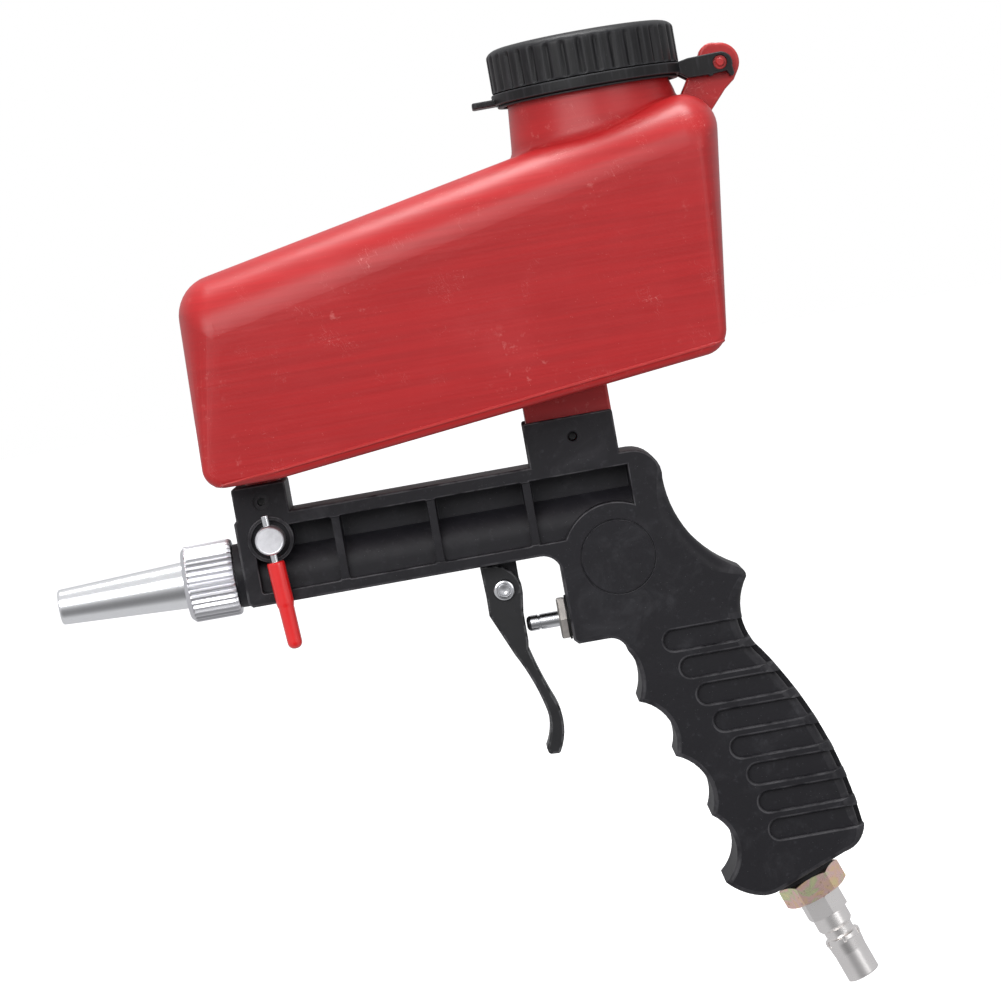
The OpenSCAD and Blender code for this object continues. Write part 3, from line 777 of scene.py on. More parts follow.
def body_half(side, softness):
    """One half of the body. It is built as the left half and mirrored for the right."""
    outline = body_outline()
    radii = edge_rounding(outline, softness)
    shell = stack(outline, [(0, 0.0)] + rim(-HALF_W, -1, radii, 5))
    depth = 1.9
    inner_rim = rim(-HALF_W + depth, -1, [max(0.3, r - depth) for r in radii], 4)
    inner = stack(outline, [(1, depth)] + [(heights, [depth + d for d in depths]) for heights, depths in inner_rim])
    flare = [(-HALF_W - 1, -0.9), (-HALF_W, -0.85), (-HALF_W + 0.15, -0.4), (-HALF_W + 0.5, -0.12), (-HALF_W + 1.0, 0.0), (-5.5, 0.0)]
    slots = [carved(stack(shape, flare), [inner.copy()]) for shape in grip_slots()]
    inner.free()
    cuts = [pocket(shape, -4.5) for shape in bays()] + slots
    ribs = eased(rectangle((-158.9, 83.5), (-59.5, 105.3)), 1.0, 4, closed=True)
    cuts.append(stack(ribs, [(-HALF_W - 2, -0.4), (-HALF_W, -0.4), (-HALF_W + 0.15, -0.15), (-HALF_W + 0.5, 0.0), (-HALF_W + 0.9, 0.0)]))
    disc = (-34.6, 74.3)
    groove = [(12.6, -0.5), (13.5, -0.5), (13.4, 0.0), (13.2, 0.5), (12.9, 0.5), (12.7, 0.0)]
    cuts.append(turned(groove, (disc[0], -HALF_W, disc[1]), (0, 1, 0), 72))
    half = carved(shell, cuts)
    bulge = [Vector((1, 98.3)), *arc((-4.6, 97.6), (-11.8, 87), -1.9, 14), Vector((-11.8, 87)), Vector((-12, 81)), Vector((1, 81))]
    cover = stack(bulge, [(-159.5, 0.0), (-25.8, 0.0)], "X")
    extras = [
        cover,
        turned([(8.1, 0), (8.1, 12), (3, 12), (3, 0)], (SPINDLE_X, -HALF_W, SPINDLE_Z), (0, 1, 0), 64, 0.15),
        turned([(6.75, -0.5), (8.1, -0.5), (8.1, 2), (6.75, 2)], (SPINDLE_X, -HALF_W, SPINDLE_Z), (0, 1, 0), 64, 0.35),
        turned([(7, 0), (11.3, 0), (11.3, 3.4), (7, 3.4)], (-168, 0, BARREL_Z), (1, 0, 0), 72, 0.4),
        slab([Vector(p) for p in ((-82, 80), (-82, 72.5), (-81, 69.5), (-76, 69.2), (-71, 68.2), (-70.2, 71.3), (-70.2, 80))], -5, 5, 0.2),
        rod((PIVOT_X, -5, PIVOT_Z), (PIVOT_X, 5, PIVOT_Z), 5.6, 48, 0.2),
        block((-164, -HALF_W, 109), (-145, HALF_W, 121), 0.6),
        block((-59.8, -HALF_W, 109), (-28, -11.4, 125.7), 0.6),
    ]
    half = welded(half, [left_of_middle(extra) for extra in extras])
    bores = body_bores() + [
        turned([(0, -2), (6.75, -2), (6.75, 1.5), (0, 1.5)], (SPINDLE_X, -HALF_W, SPINDLE_Z), (0, 1, 0), 64),
        rod((-154.2, -16, 115), (-154.2, 1, 115), 1.45),
        rod((-154.2, -16, 115), (-154.2, -HALF_W + 1.2, 115), 3.0),
        turned([(0, -16), (2.0, -16), (2.0, -14.8), (1.6, -14.4), (1.6, 1), (0, 1)], (-43.1, 0, 118.5), (0, 1, 0), 40),
    ]
    screws = [(-161.8, 105), (-19.5, 100), (-50, 73.5), (-29, 33), (22, -33)]
    if side > 0:
        bores += [rod((x, -1 - HALF_W, z), (x, 1, z), 1.35) for x, z in screws]
        bores += [rod((x, -1 - HALF_W, z), (x, -HALF_W + 2.8, z), 3.0) for x, z in screws]
    half = carved(half, bores)
    if side > 0:
        bmesh.ops.scale(half, vec=(1, -1, 1), verts=half.verts)
        bmesh.ops.reverse_faces(half, faces=half.faces)
    return half


# ---- hopper ----

# Each corner of the tank: x, z, its radius seen from the side, and how far its rim is rounded across, inwards and down
HOPPER_CORNERS = [
    (-156.5, 181.8, 14.0, 22.0, 12.0, 9.0),
    (12.6, 216.8, 12.0, 20.0, 9.5, 9.0),
    (5.8, 147.9, 9.0, 3.2, 3.2, 0.0),
    (-144.3, 130.0, 7.0, 2.6, 2.6, 0.0),
    (-163.7, 130.0, 7.0, 3.2, 3.2, 0.0),
]


def hopper_shell(inset, detail=40):
    """The tightest skin over the rounded corners, drawn in by the inset."""
    bm = bmesh.new()
    for x, z, radius, across, inwards, down in HOPPER_CORNERS:
        widest = 42.0 - (1.5 if z < 160 else 0.0)
        for k in range(9):
            turn = math.pi / 2 * k / 8
            y = widest - across * (1 - math.sin(turn)) - inset
            drawn = 1 - math.cos(turn)
            for point in circle((x, z - down * drawn), max(0.2, radius - inwards * drawn - inset), detail):
                bm.verts.new((point.x, y, point.y))
                bm.verts.new((point.x, -y, point.y))
    made = bmesh.ops.convex_hull(bm, input=bm.verts, use_existing_faces=False)
    spare = [v for v in made["geom_interior"] + made["geom_unused"] if isinstance(v, bmesh.types.BMVert)]
    bmesh.ops.delete(bm, geom=list(set(spare)), context="VERTS")
    loose = [v for v in bm.verts if not v.link_faces]
    bmesh.ops.delete(bm, geom=loose, context="VERTS")
    bmesh.ops.remove_doubles(bm, verts=bm.verts, dist=1e-3)
    bmesh.ops.dissolve_limit(bm, angle_limit=math.radians(0.3), verts=bm.verts, edges=bm.edges)
    bmesh.ops.recalc_face_normals(bm, faces=bm.faces)
    return bm


def parting_bead(bm):
    """Raises the moulding's parting line: a thin bead that follows the bottom edge."""
    start, end = Vector((-144.3, 0, 123.0)), Vector((6.8, 0, 139.0))
    up = Vector((-(end - start).z, 0, (end - start).x)).normalized()
    for height in (2.3, 2.7, 3.2, 3.6):
        bmesh.ops.bisect_plane(bm, geom=bm.verts[:] + bm.edges[:] + bm.faces[:], plane_co=start + up * height, plane_no=up)
    bm.normal_update()
    moves = {}
    for vert in bm.verts:
        height = (vert.co - start).dot(up)
        if 2.6 < height < 3.3:
            moves[vert] = vert.normal * 0.5
    for vert, move in moves.items():
        vert.co += Vector((move.x, move.y, 0))
    return bm


def hopper_neck(shell, radius, top):
    """The filler neck, whose foot flares out onto the hopper's sloping top."""
    tree = BVHTree.FromBMesh(shell)
    steps = 96

    def surface(x, y):
        hit = tree.ray_cast(Vector((x, y, 300)), Vector((0, 0, -1)))[0]
        return hit.z if hit else 200.0

    def ring(reach, height=None, lift=0.0):
        points = []
        for i in range(steps):
            turn = 2 * math.pi * i / steps
            x, y = NECK_X + reach * math.cos(turn), reach * math.sin(turn)
            points.append(Vector((x, y, height if height is not None else surface(x, y) + lift)))
        return points

    rings = [ring(radius - 2.8, 205), ring(radius + 3.9, None, -1.2), ring(radius + 3.9, None, -0.05), ring(radius + 2.9, None, 0.22),
             ring(radius + 2.1, None, 0.8), ring(radius + 1.6, None, 1.7), ring(radius + 1.35, None, 3.0),
             ring(radius, 236.0), ring(radius, top - 0.8), ring(radius - 0.25, top - 0.2), ring(radius - 0.8, top),
             ring(radius - 2.3, top), ring(radius - 2.8, top - 0.5), ring(radius - 2.8, 205)]
    return stack_rings(rings, closed=True)


def lug():
    """The tall fin behind the neck that carries the lid's hinge."""
    outline = arc((36.6, 234.6), (LID_PIN.x, LID_PIN.y + 7.05), -3.6, 12)
    outline += arc((LID_PIN.x, LID_PIN.y + 7.05), (23.6, 239.5), -2.6, 8)
    outline += [Vector(p) for p in ((23.4, 239.3), (18.5, 234.4), (15.2, 229.2), (14, 222), (14, 214), (20, 214), (25, 222), (31, 228.6),
                                    (34.6, 231.4))]
    return slab(outline, -4, 4, 1.0, steps=4)


def hopper(neck_radius, neck_top):
    outer = parting_bead(hopper_shell(0.0))
    neck = hopper_neck(outer, neck_radius, neck_top)
    parts = [
        lug(),
        rod((SPINDLE_X, 0, 110.05), (SPINDLE_X, 0, 128), 6.3, 48, 0.3),
        block((-58.4, -11.2, 110.7), (-28, 11.2, 137), 1.0),
    ]
    whole = welded(outer, parts)
    cuts = [
        hopper_shell(2.6, 24),
        rod((NECK_X, 0, 204), (NECK_X, 0, 226), neck_radius - 2.8, 96),
        rod((SPINDLE_X, 0, 108), (SPINDLE_X, 0, 132), 4.3),
        rod((-43.1, -20, 118.5), (-43.1, 20, 118.5), 1.7),
    ]
    whole = carved(whole, cuts)
    half = [(2.5, 7.4), (2.3, 7.6), (1.45, 7.6), (1.4, 8.7), (1.1, 9.0), (0, 9.0)]
    pins = turned([(r, -h) for r, h in half[::-1]] + half, (LID_PIN.x, 0, LID_PIN.y), (0, 1, 0), 40)
    return whole, neck, pins


# ---- lid ----


def ring_plate(low, high, inner, outer):
    return turned([(inner, low), (outer, low), (outer, high), (inner, high)], (NECK_X, 0, 0), (0, 0, 1), 128, 0.5)


def lid_ring():
    """The hinged ring with its thumb tab and its two arms."""
    low, high = box_mm("lid_ring")
    bottom, top = 236.7, 240.5
    pieces = []
    for start in (-8.6, 4.4):
        outline = (
            [Vector((15.4, bottom)), Vector((18.6, 234.4)), Vector((25.6, 234.3))]
            + arc((25.6, 234.3), (27.6, 234.35), -0.7, 5)
            + [Vector((27.6, 234.35)), Vector((32.2, 234.7)), Vector((33.2, 232.8)), Vector((34.2, 232.6)), Vector((34.8, 233.4))]
            + arc((34.5, 236), (LID_PIN.x, LID_PIN.y + 3.6), -1.9, 8)
            + [Vector((LID_PIN.x, LID_PIN.y + 3.6)), Vector((19.5, top + 0.8)), Vector((15.4, top))]
        )
        pieces.append(slab(outline, start, start + 4.2, 0.45))
    tab = eased(rectangle((low.x, -7), (-47.5, 7)), 1.6, 4, closed=True)
    pieces.append(slab(tab, bottom, bottom + 2.2, 0.5, "Z"))
    whole = welded(turned([(12, bottom), (33.7, bottom), (33.7, top), (12, top)], (NECK_X, 0, 0), (0, 0, 1), 128, 0.5), pieces)
    notch = block((-36.6, -36, bottom - 1), (-34.4, -30, bottom + 0.7), 0.3)
    cuts = [
        rod((NECK_X, 0, 225), (NECK_X, 0, 250), 31.6, 128),
        rod((LID_PIN.x, -20, LID_PIN.y), (LID_PIN.x, 20, LID_PIN.y), 2.56, 40),
        notch,
    ]
    return carved(whole, cuts)


def cap(radius, ribs):
    """The screw cap: straight ribs round a domed top, open below."""
    bottom, shoulder = 240.8, 253.6
    pattern = [0.0, 0.0, 0.0, 0.0, 0.15, 1.0, 1.0, 0.15]
    levels = [
        (249.8, 2.0, 0), (249.8, 30.2, 0), (235.7, 30.2, 0), (235.7, 31.9, 0), (235.9, 32.1, 0), (236.2, 32.1, 0),
        (236.5, 31.3, 0), (bottom, 31.3, 0), (bottom, radius - 0.5, 0), (bottom + 0.15, radius - 0.15, 0.1),
        (bottom + 0.5, radius, 0.5), (bottom + 0.9, radius, 0.85), (shoulder - 1.4, radius, 0.95), (shoulder - 0.4, radius, 0.8),
        (shoulder + 0.2, radius - 0.12, 0.35), (shoulder + 0.7, radius - 0.4, 0.0), (shoulder + 1.3, radius - 0.95, 0),
        (shoulder + 1.8, radius - 1.7, 0), (shoulder + 2.2, radius - 2.6, 0), (shoulder + 2.45, radius - 3.6, 0),
        (shoulder + 2.6, radius - 5, 0), (shoulder + 2.9, radius * 0.6, 0), (shoulder + 3.1, radius * 0.3, 0),
        (shoulder + 3.15, 2.0, 0),
    ]
    return toothed(ribs, levels, pattern, "Z", (NECK_X, 0))


# ---- nozzle ----


def nozzle():
    low, _ = box_mm("nozzle")
    tip = low.x
    profile = [(3, tip + 0.3), (3.3, tip), (5.7, tip), (6.2, tip + 0.45), (6.3, tip + 1.2), (8.3, -187), (8.3, -181.05), (9.3, -181),
               (9.3, -179), (5, -179), (3, -184)]
    return turned(profile, (0, 0, BARREL_Z), (1, 0, 0), 96, 0.12)


def nozzle_nut(radius, grooves):
    pattern = [0.0, 0.0, 0.55, 1.0, 0.55]
    levels = [
        (-181.05, 8.45, 0), (-186.1, 8.45, 0), (-186.3, 8.65, 0), (-186.3, 11.9, 0), (-186.15, 12.2, 0), (-184.95, radius - 0.25, 0.05),
        (-184.7, radius - 0.05, 0.45), (-184.2, radius, 0.8), (-170.0, radius, 0.85), (-169.0, radius - 0.05, 0.9), (-168.35, radius - 0.5, 0.6),
        (-168.2, radius - 0.9, 0.3), (-168.2, 9.8, 0), (-168.4, 9.55, 0), (-181.0, 9.55, 0), (-181.05, 8.45, 0),
    ]
    return toothed(grooves, levels, pattern, "X", (0, BARREL_Z), closed=True)


# ---- sand valve ----


def at_lever(bm):
    turn = Matrix.Rotation(-LEVER_TILT, 4, "Y")
    bmesh.ops.transform(bm, matrix=Matrix.Translation((SPINDLE_X, ROD_Y, SPINDLE_Z)) @ turn, verts=bm.verts)
    return bm


def spindle():
    profile = [(0, -16.6), (4.9, -16.6), (5.15, -16.3), (5.15, -16.0), (4.6, -16.0), (4.6, -15.4), (5.15, -15.4), (5.15, 21.6), (4.95, 22.1),
               (4.55, 22.5), (4.3, 22.42), (0, 22.42)]
    bar = turned(profile, (SPINDLE_X, 0, SPINDLE_Z), (0, -1, 0), 72, 0.08)
    hole = at_lever(rod((0, 0, -9), (0, 0, 9), 1.4, 32))
    passage = rod((SPINDLE_X, 0, SPINDLE_Z - 7), (SPINDLE_X, 0, SPINDLE_Z + 7), 3.2)
    return carved(bar, [hole, passage])


def sleeve():
    profile = [(0, -36.1), (1.37, -36.1), (1.37, -7.9), (2.85, -7.8), (3.1, -8.1), (3.16, -8.8), (3.15, -22.3), (3.02, -23.2),
               (2.75, -24.0), (2.62, -36.2)]
    profile += [tuple(p) for p in arc((2.6, -36.6), (0, -38.8), 0.75, 8)] + [(0, -38.8)]
    return at_lever(turned(profile, steps=48))


# ---- trigger ----


def trigger_outline():
    return (
        [Vector(p) for p in ((-83.1, 78.6), (-82.7, 67.6), (-82.8, 60.9))]
        + arc((-76.3, 45.7), (-68.9, 26.1), 0.7)
        + arc((-68.9, 26.1), (-71, 11.3), 1.5)
        + [Vector(p) for p in ((-71, 11.3), (-70.6, 9.5), (-69.9, 8.9), (-67, 8.7), (-66.3, 9.2))]
        + arc((-66.3, 9.2), (-64.8, 27.2), -2)
        + arc((-64.8, 27.2), (-71.1, 47.2), 0.4, 6)
        + [Vector(p) for p in ((-71.1, 47.2), (-70.7, 50), (-70.7, 60), (-69.7, 67))]
        + arc((-69.7, 67), (-80, 78.6), -3.4)
    )


def trigger(softness):
    lever = slab(trigger_outline(), -7, 7, 0.9 * softness, steps=5)
    gap = [Vector(p) for p in ((-84.5, 66.5), (-70, 69.2), (-63, 70), (-63, 81), (-84.5, 81))]
    cuts = [
        stack(gap, [(-5.3, 0.0), (5.3, 0.0)]),
        rod((PIVOT_X, -5.3, PIVOT_Z), (PIVOT_X, 5.3, PIVOT_Z), 6.0),
        rod((PIVOT_X, -20, PIVOT_Z), (PIVOT_X, 20, PIVOT_Z), 2.06, 32),
    ]
    return carved(lever, cuts)


def rivet():
    """A round-headed rivet with a bright rim, an inner ring and a dimpled middle at each end."""
    half = [(3.85, 7.1), (3.85, 7.75), (3.6, 8.2), (3.15, 8.5), (2.7, 8.55), (2.45, 8.35), (2.2, 8.33), (2.0, 8.5), (1.7, 8.52), (0.9, 8.3),
            (0, 8.22)]
    profile = [(0, -8.22)] + [(r, -h) for r, h in half[-2::-1]] + [(2, -7.1), (2, 7.1)] + half
    return turned(profile, (PIVOT_X, 0, PIVOT_Z), (0, 1, 0), 56)


# ---- plunger and gland ----


def plunger():
    low, _ = box_mm("valve_stem")
    tip = low.x
    profile = [(0, tip), (1.2, tip), (2.0, tip + 0.25), (2.55, tip + 0.8), (2.8, tip + 1.5), (2.8, -66.15), (2.45, -65.95), (2.45, -65.5),
               (2.8, -65.3), (2.8, -44.6), (2, -44), (2, -33.5), (5, -33.5), (5, -32), (1.6, -32), (1.6, -29), (0, -29)]
    return turned(profile, (0, 0, PLUNGER_Z), (1, 0, 0), 48, 0.06)


def hexagon(centre, radius, start=0.0):
    return circle(centre, radius, 6, start)


def gland_nut():
    """A hexagon nut, chamfered at its front, on its threaded shank."""
    outline = hexagon((0, PLUNGER_Z), 8.1)
    head = stack(outline, [(-58.8, 0.7), (-58.65, 0.3), (-58.3, 0.0), (-56.1, 0.0), (-55.85, 0.25)], "X")
    shank = rod((-56.2, 0, PLUNGER_Z), (-47.5, 0, PLUNGER_Z), 5.45, 40)
    bore = turned([(0, -1), (3.3, -1), (3.3, 0.1), (2.87, 0.6), (2.87, 14), (0, 14)], (-59, 0, PLUNGER_Z), (1, 0, 0), 40)
    return carved(welded(head, [shank]), [bore])


# ---- air inlet ----


def at_inlet(bm):
    turn = Vector((0, 0, 1)).rotation_difference(INLET_AXIS).to_matrix().to_4x4()
    bmesh.ops.transform(bm, matrix=Matrix.Translation(INLET_TOP) @ turn, verts=bm.verts)
    return bm


def crowned_hexagon(radius, low, high, start, crown):
    """A hexagon whose corners are turned off at both ends."""
    flats = stack(hexagon((0, 0), radius, start), [(low, 0.0), (high, 0.0)], "Z")
    drop = 0.55 * crown
    profile = [(0, low), (radius - crown, low), (radius + 0.15, low + drop), (radius + 0.15, high - drop), (radius - crown, high), (0, high)]
    return carved(flats, [turned(profile, steps=72)], "INTERSECT")


def inlet_bushing():
    head = crowned_hexagon(11.9, 51.4, 59.4, 0.0, 1.5)
    whole = welded(head, [rod((0, 0, 38.1), (0, 0, 52.0), 7.9, 56)])
    bore = rod((0, 0, 48), (0, 0, 68), 6.05, 56)
    return at_inlet(carved(whole, [bore, rod((0, 0, 30), (0, 0, 50), 4, 40)]))


def quick_plug():
    """The air plug: a hexagon, a waist, a locking collar with notches, and the sealing end."""
    hexed = crowned_hexagon(8.05, 59.6, 67.1, math.radians(20), 1.0)
    profile = [(0, 48.5), (6, 48.5), (6, 60), (6.45, 66.9), (6.5, 67.4), (6.5, 71.7), (6.3, 72.0), (5.9, 72.6), (5.35, 73.1), (5.3, 75.5),
               (5.55, 75.75), (6.2, 75.9), (6.65, 76.3), (6.7, 77.7), (6.4, 78.3), (6.38, 78.7), (6.05, 82.2), (6, 82.7), (6, 92.1),
               (5.8, 92.5), (5.4, 92.7), (0, 92.7)]
    whole = welded(hexed, [turned(profile, steps=80, easing=0.15)])
    cuts = [rod((0, 0, 40), (0, 0, 96), 3.5, 48), turned([(0, 92.0), (3.4, 92.0), (4.3, 93.0), (0, 93.0)], steps=48)]
    for k in range(6):
        turn = math.pi * (k + 0.5) / 3
        notch = block((6.05, -0.55, 75.4), (8, 0.55, 78.2), 0.2)
        bmesh.ops.rotate(notch, matrix=Matrix.Rotation(turn, 3, "Z"), verts=notch.verts)
        cuts.append(notch)
    return at_inlet(carved(whole, cuts))


# ---- what a user can change ----


def size(name, description, default, low, high):
    """A length in millimetres."""
    return FloatProperty(name=name, description=description, default=default, min=low, max=high, unit="NONE")


def colour(name, description, default):
    return FloatVectorProperty(name=name, description=description, default=default[:3], min=0, max=1, subtype="COLOR")


class BlastSizes(bpy.types.PropertyGroup):
    """Sizes of the finished pieces."""

    softness: FloatProperty(name="Edge softness", description="How strongly moulded edges are rounded", default=1.0, min=0.4,
                            max=1.2, subtype="FACTOR")
    neck_radius: size("Neck radius", "Outer radius of the filler neck, in millimetres", 28.6, 27.4, 28.6)
    cap_radius: size("Cap radius", "Outer radius of the ribbed cap, in millimetres", 33.2, 32.6, 33.8)
    cap_ribs: IntProperty(name="Cap ribs", description="Number of ribs round the cap", default=36, min=24, max=48)
    nut_radius: size("Nut radius", "Outer radius of the knurled nut, in millimetres", 13.6, 12.5, 14.0)
    nut_grooves: IntProperty(name="Nut grooves", description="Number of grooves round the knurled nut", default=40, min=30, max=48)
    edge_round: size("Screw edge", "Rounding of small parts' edges, in millimetres", 0.12, 0.05, 0.3)


class BlastColours(bpy.types.PropertyGroup):
    """Colours of the moulded pieces."""

    body: colour("Body", "Colour of the body halves", display(22, 21, 26))
    hopper: colour("Hopper", "Colour of the hopper", display(179, 26, 29))
    lid: colour("Lid", "Colour of the cap and its ring", display(14, 14, 16))
    sleeve: colour("Lever sleeve", "Colour of the dipped sleeve on the lever", display(238, 18, 20))


class BlastStage(bpy.types.PropertyGroup):
    """The camera and the floor."""

    floor_drop: FloatProperty(name="Floor drop", description="How far the floor lies below the gun", default=0.06, min=0.0, max=0.5,
                              unit="LENGTH")
    distance: FloatProperty(name="Camera distance", description="Distance from the camera to the middle of the gun", default=1.3,
                            min=0.5, max=3.0, unit="LENGTH")
    roll: FloatProperty(name="Camera roll", description="Turn of the camera about its own view", default=math.radians(10.1),
                        subtype="ANGLE")
    elevation: FloatProperty(name="Camera elevation", description="Angle of the camera above the horizon",
                             default=math.radians(3.4), subtype="ANGLE")
    focal: FloatProperty(name="Focal length", description="Lens of the camera, in millimetres", default=132.3, min=20, max=300)


# ---- operators ----


class PieceOperator:
    """What every operator of this file shares."""

    bl_options = {"REGISTER", "UNDO"}

    def execute(self, context):
        self.build(context.scene.blast_sizes)
        return {"FINISHED"}


class BLAST_OT_body(PieceOperator, bpy.types.Operator):
    """Build the two body halves"""

    bl_idname = "blast.body"
    bl_label = "Body halves"

    def build(self, sizes):
        finish = Finishes.get("body_plastic")
        for side, name in ((-1, "left_shell"), (1, "right_shell")):
            finish_piece(name, body_half(side, sizes.softness), "gun", finish,
                         ["left_body" if side < 0 else "right_body"], sharp=28)


class BLAST_OT_screws(PieceOperator, bpy.types.Operator):
    """Soften the edges of the screws and the clip"""

    bl_idname = "blast.screws"
    bl_label = "Screws"

    def build(self, sizes):
        for node, body, slot in (("body_screws", "gun", "black_screw"), ("front_bracket_screws", "gun", "black_screw"),
                                 ("rear_bracket_screw", "gun", "black_screw"), ("spindle_clip", "sand_valve", "polished_steel")):
            bm = node_copy(node)
            if "bracket" in node:
                for vert in bm.verts:
                    vert.co.y = max(-10.5, min(10.5, vert.co.y))
            corners = [e for e in bm.edges if e.calc_face_angle(0.0) > math.radians(35)]
            bmesh.ops.bevel(bm, geom=corners, offset=sizes.edge_round, offset_type="OFFSET", affect="EDGES", segments=2,
                            profile=0.5, material=-1, clamp_overlap=True)
            finish_piece(node + "_soft", bm, body, Finishes.get(slot), [node])


class BLAST_OT_hopper(PieceOperator, bpy.types.Operator):
    """Build the hopper, its neck and its hinge pins"""

    bl_idname = "blast.hopper"
    bl_label = "Hopper"

    def build(self, sizes):
        finish = Finishes.get("hopper_plastic")
        whole, neck, pins = hopper(sizes.neck_radius, 248.1)
        finish_piece("hopper_shell", whole, "gun", finish, ["hopper", "hopper_spout"], sharp=38)
        finish_piece("hopper_neck", neck, "gun", finish, ["filler_neck"], sharp=50)
        finish_piece("hopper_hinge_pin", pins, "gun", finish)


class BLAST_OT_lid(PieceOperator, bpy.types.Operator):
    """Build the hinged ring and the screw cap"""

    bl_idname = "blast.lid"
    bl_label = "Lid"

    def build(self, sizes):
        finish = Finishes.get("lid_plastic")
        finish_piece("hinged_ring", lid_ring(), "lid", finish, ["lid_ring"])
        finish_piece("ribbed_cap", cap(sizes.cap_radius, sizes.cap_ribs), "cap", finish, ["cap"], sharp=42)


class BLAST_OT_nozzle(PieceOperator, bpy.types.Operator):
    """Build the nozzle and the knurled nut"""

    bl_idname = "blast.nozzle"
    bl_label = "Nozzle"

    def build(self, sizes):
        finish_piece("blast_nozzle", nozzle(), "gun", Finishes.get("aluminium"), ["nozzle"])
        finish_piece("knurled_nut", nozzle_nut(sizes.nut_radius, sizes.nut_grooves), "nozzle_nut",
                     Finishes.get("aluminium_nut"), ["nozzle_nut"])


class BLAST_OT_sand_valve(PieceOperator, bpy.types.Operator):
    """Build the spindle, the lever's rod and its sleeve"""

    bl_idname = "blast.sand_valve"
    bl_label = "Sand valve"

    def build(self, sizes):
        steel = Finishes.get("polished_steel")
        finish_piece("valve_spindle_bar", spindle(), "sand_valve", Finishes.get("faced_steel"), ["valve_spindle"])
        bar = at_lever(rod((0, 0, -36), (0, 0, 8.8), 1.35, 40, 0.3))
        finish_piece("lever_rod_bar", bar, "sand_valve", steel, ["lever_rod"])
        finish_piece("lever_sleeve_dip", sleeve(), "sand_valve", Finishes.get("red_vinyl"), ["lever_sleeve"])


class BLAST_OT_trigger(PieceOperator, bpy.types.Operator):
    """Build the trigger and its rivet"""

    bl_idname = "blast.trigger"
    bl_label = "Trigger"

    def build(self, sizes):
        finish_piece("trigger_lever", trigger(sizes.softness), "trigger", Finishes.get("black_paint"), ["trigger"])
        finish_piece("trigger_rivet", rivet(), "gun", Finishes.get("polished_steel"), ["trigger_pin"])


class BLAST_OT_plunger(PieceOperator, bpy.types.Operator):
    """Build the plunger and its gland nut"""

    bl_idname = "blast.plunger"
    bl_label = "Plunger"

    def build(self, sizes):
        finish_piece("plunger_pin", plunger(), "valve_plunger", Finishes.get("polished_steel"), ["valve_stem"])
        finish_piece("gland_hexagon", gland_nut(), "gun", Finishes.get("dull_zinc"), ["gland_nut"])


class BLAST_OT_inlet(PieceOperator, bpy.types.Operator):
    """Build the bushing and the air plug"""

    bl_idname = "blast.inlet"
    bl_label = "Air inlet"

    def build(self, sizes):
        finish_piece("inlet_hexagon", inlet_bushing(), "gun", Finishes.get("yellow_zinc"), ["inlet_bushing"], sharp=18)
        finish_piece("air_plug", quick_plug(), "gun", Finishes.get("nickel_plate"), ["quick_plug"], sharp=24)


class BLAST_OT_inner_works(PieceOperator, bpy.types.Operator):
    """Give every CAD node that stays its finish"""

    bl_idname = "blast.inner_works"
    bl_label = "Inner works"

    def build(self, sizes):
        slots = {row["node"]: row["material_slot"] for row in frame["record"]["subparts"]}
        for node, thing in frame["nodes"].items():
            if not thing.hide_render:
                dress(node, Finishes.get(slots[node]))


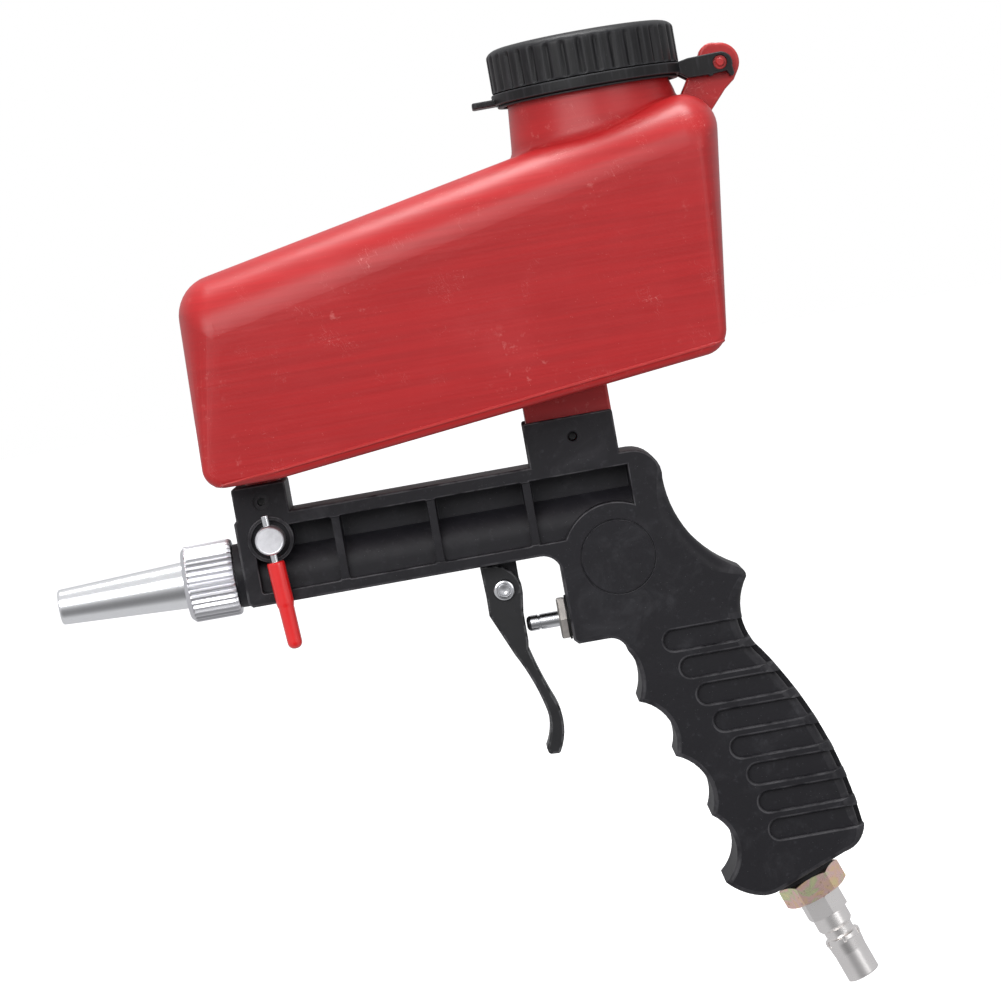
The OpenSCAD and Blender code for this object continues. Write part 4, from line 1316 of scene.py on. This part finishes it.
class BLAST_OT_stage(bpy.types.Operator):
    """Set up the camera, the lights and the floor"""

    bl_idname = "blast.stage"
    bl_label = "Stage"
    bl_options = {"REGISTER", "UNDO"}

    def execute(self, context):
        stage = context.scene.blast_stage
        self.camera(context, stage)
        self.floor(stage)
        self.world(context)
        for name, place, width, height, power in (
            ("key", (-0.75, -1.5, 0.9), 1.5, 1.0, 19.0),
            ("fill", (1.0, -1.5, 0.5), 1.0, 0.9, 5.0),
            ("top", (0.0, 0.1, 1.5), 0.9, 0.4, 17.0),
        ):
            self.softbox(context, name, Vector(place), width, height, power)
        return {"FINISHED"}

    def camera(self, context, stage):
        lens = bpy.data.cameras.new("camera")
        lens.lens = stage.focal
        lens.sensor_width = 36
        lens.clip_start, lens.clip_end = 0.05, 50
        camera = bpy.data.objects.new("camera", lens)
        context.scene.collection.objects.link(camera)
        target = Vector((-0.0718, 0, 0.1))
        rise = Vector((0, math.sin(stage.elevation), math.cos(stage.elevation)))
        back = Vector((0, -math.cos(stage.elevation), math.sin(stage.elevation)))
        across = Vector((1, 0, 0))
        turn, lift = math.cos(stage.roll), math.sin(stage.roll)
        right, up = across * turn - rise * lift, across * lift + rise * turn
        place = target + back * stage.distance
        camera.matrix_world = Matrix([[right[i], up[i], back[i], place[i]] for i in range(3)] + [[0, 0, 0, 1]])
        context.scene.camera = camera

    def softbox(self, context, name, place, width, height, power):
        light = bpy.data.lights.new(name, "AREA")
        light.shape = "RECTANGLE"
        light.size, light.size_y = width, height
        light.energy = power
        lamp = bpy.data.objects.new(name, light)
        lamp.location = place
        lamp.rotation_mode = "QUATERNION"
        lamp.rotation_quaternion = (place - Vector((-0.07, 0, 0.11))).to_track_quat("Z", "Y")
        context.scene.collection.objects.link(lamp)

    def floor(self, stage):
        """A wide pale floor that fades into the surroundings."""
        lowest = CAD_BOX[0].z - stage.floor_drop
        bm = bmesh.new()
        bmesh.ops.create_circle(bm, cap_ends=True, segments=96, radius=12.0, matrix=Matrix.Translation((0, 0, lowest)))
        mesh = bpy.data.meshes.new("floor")
        bm.to_mesh(mesh)
        bm.free()
        piece = bpy.data.objects.new("floor", mesh)
        bpy.context.scene.collection.objects.link(piece)
        f = Finish("floor_paint", Specular_IOR_Level=0.2, Emission_Color=(1, 1, 1, 1), Emission_Strength=0.55)
        shade = f.blend(f.noise(3, 2.0), display(246, 246, 246), display(250, 250, 250))
        mesh.materials.append(f.done(shade, 0.7))
        piece.visible_diffuse = False
        piece.visible_glossy = False

    def world(self, context):
        """Pale surroundings, brighter above, with a dim patch low in front of the gun."""
        world = bpy.data.worlds.new("studio")
        context.scene.world = world
        world.use_nodes = True
        nodes, links = world.node_tree.nodes, world.node_tree.links
        nodes.clear()
        way = nodes.new("ShaderNodeTexCoord")

        def tones(direction, stops):
            """Greys that follow how far a view direction points along the given one."""
            facing = nodes.new("ShaderNodeVectorMath")
            facing.operation = "DOT_PRODUCT"
            facing.inputs[1].default_value = Vector(direction).normalized()
            links.new(way.outputs["Generated"], facing.inputs[0])
            share = nodes.new("ShaderNodeMapRange")
            share.inputs["From Min"].default_value = -1
            links.new(facing.outputs["Value"], share.inputs["Value"])
            ramp = nodes.new("ShaderNodeValToRGB")
            Finish.set_stops(ramp.color_ramp, [(at, (tone, tone, tone * 1.01, 1)) for at, tone in stops])
            links.new(share.outputs[0], ramp.inputs[0])
            return ramp.outputs["Color"]

        both = nodes.new("ShaderNodeMix")
        both.data_type = "RGBA"
        both.blend_type = "MULTIPLY"
        both.inputs[0].default_value = 1.0
        links.new(tones((0, 0, 1), [(0.0, 0.8), (0.5, 0.8), (1.0, 0.9)]), both.inputs[6])
        links.new(tones((0, -0.8, -0.6), [(0.0, 1.0), (0.88, 1.0), (0.96, 0.5), (1.0, 0.3)]), both.inputs[7])
        lit = nodes.new("ShaderNodeBackground")
        lit.inputs["Strength"].default_value = 0.72
        links.new(both.outputs[2], lit.inputs["Color"])
        seen = nodes.new("ShaderNodeBackground")
        seen.inputs["Color"].default_value = (1, 1, 1, 1)
        seen.inputs["Strength"].default_value = 1.0
        path = nodes.new("ShaderNodeLightPath")
        mix = nodes.new("ShaderNodeMixShader")
        out = nodes.new("ShaderNodeOutputWorld")
        links.new(path.outputs["Is Camera Ray"], mix.inputs[0])
        links.new(lit.outputs[0], mix.inputs[1])
        links.new(seen.outputs[0], mix.inputs[2])
        links.new(mix.outputs[0], out.inputs["Surface"])
        context.scene.view_settings.view_transform = "Standard"


OPERATORS = (BLAST_OT_body, BLAST_OT_screws, BLAST_OT_hopper, BLAST_OT_lid, BLAST_OT_nozzle, BLAST_OT_sand_valve,
             BLAST_OT_trigger, BLAST_OT_plunger, BLAST_OT_inlet, BLAST_OT_inner_works, BLAST_OT_stage)
GROUPS = (("blast_sizes", BlastSizes), ("blast_colours", BlastColours), ("blast_stage", BlastStage))


class BLAST_PT_panel(bpy.types.Panel):
    """Lists the pieces of the gun"""

    bl_idname = "BLAST_PT_panel"
    bl_label = "Sandblaster gun"
    bl_space_type = "VIEW_3D"
    bl_region_type = "UI"
    bl_category = "Blast Gun"

    def draw(self, context):
        for name, group in GROUPS:
            settings = getattr(context.scene, name)
            for key in group.__annotations__:
                self.layout.prop(settings, key)
        for operator in OPERATORS:
            self.layout.operator(operator.bl_idname)


CLASSES = (*(group for _, group in GROUPS), *OPERATORS, BLAST_PT_panel)


def register():
    for cls in CLASSES:
        bpy.utils.register_class(cls)
    for name, group in GROUPS:
        setattr(bpy.types.Scene, name, PointerProperty(type=group))


def unregister():
    for name, _ in GROUPS:
        delattr(bpy.types.Scene, name)
    for cls in reversed(CLASSES):
        bpy.utils.unregister_class(cls)


def main():
    register()
    for operator in OPERATORS:
        family, name = operator.bl_idname.split(".")
        getattr(getattr(bpy.ops, family), name)()


if __name__ == "__main__":
    main()
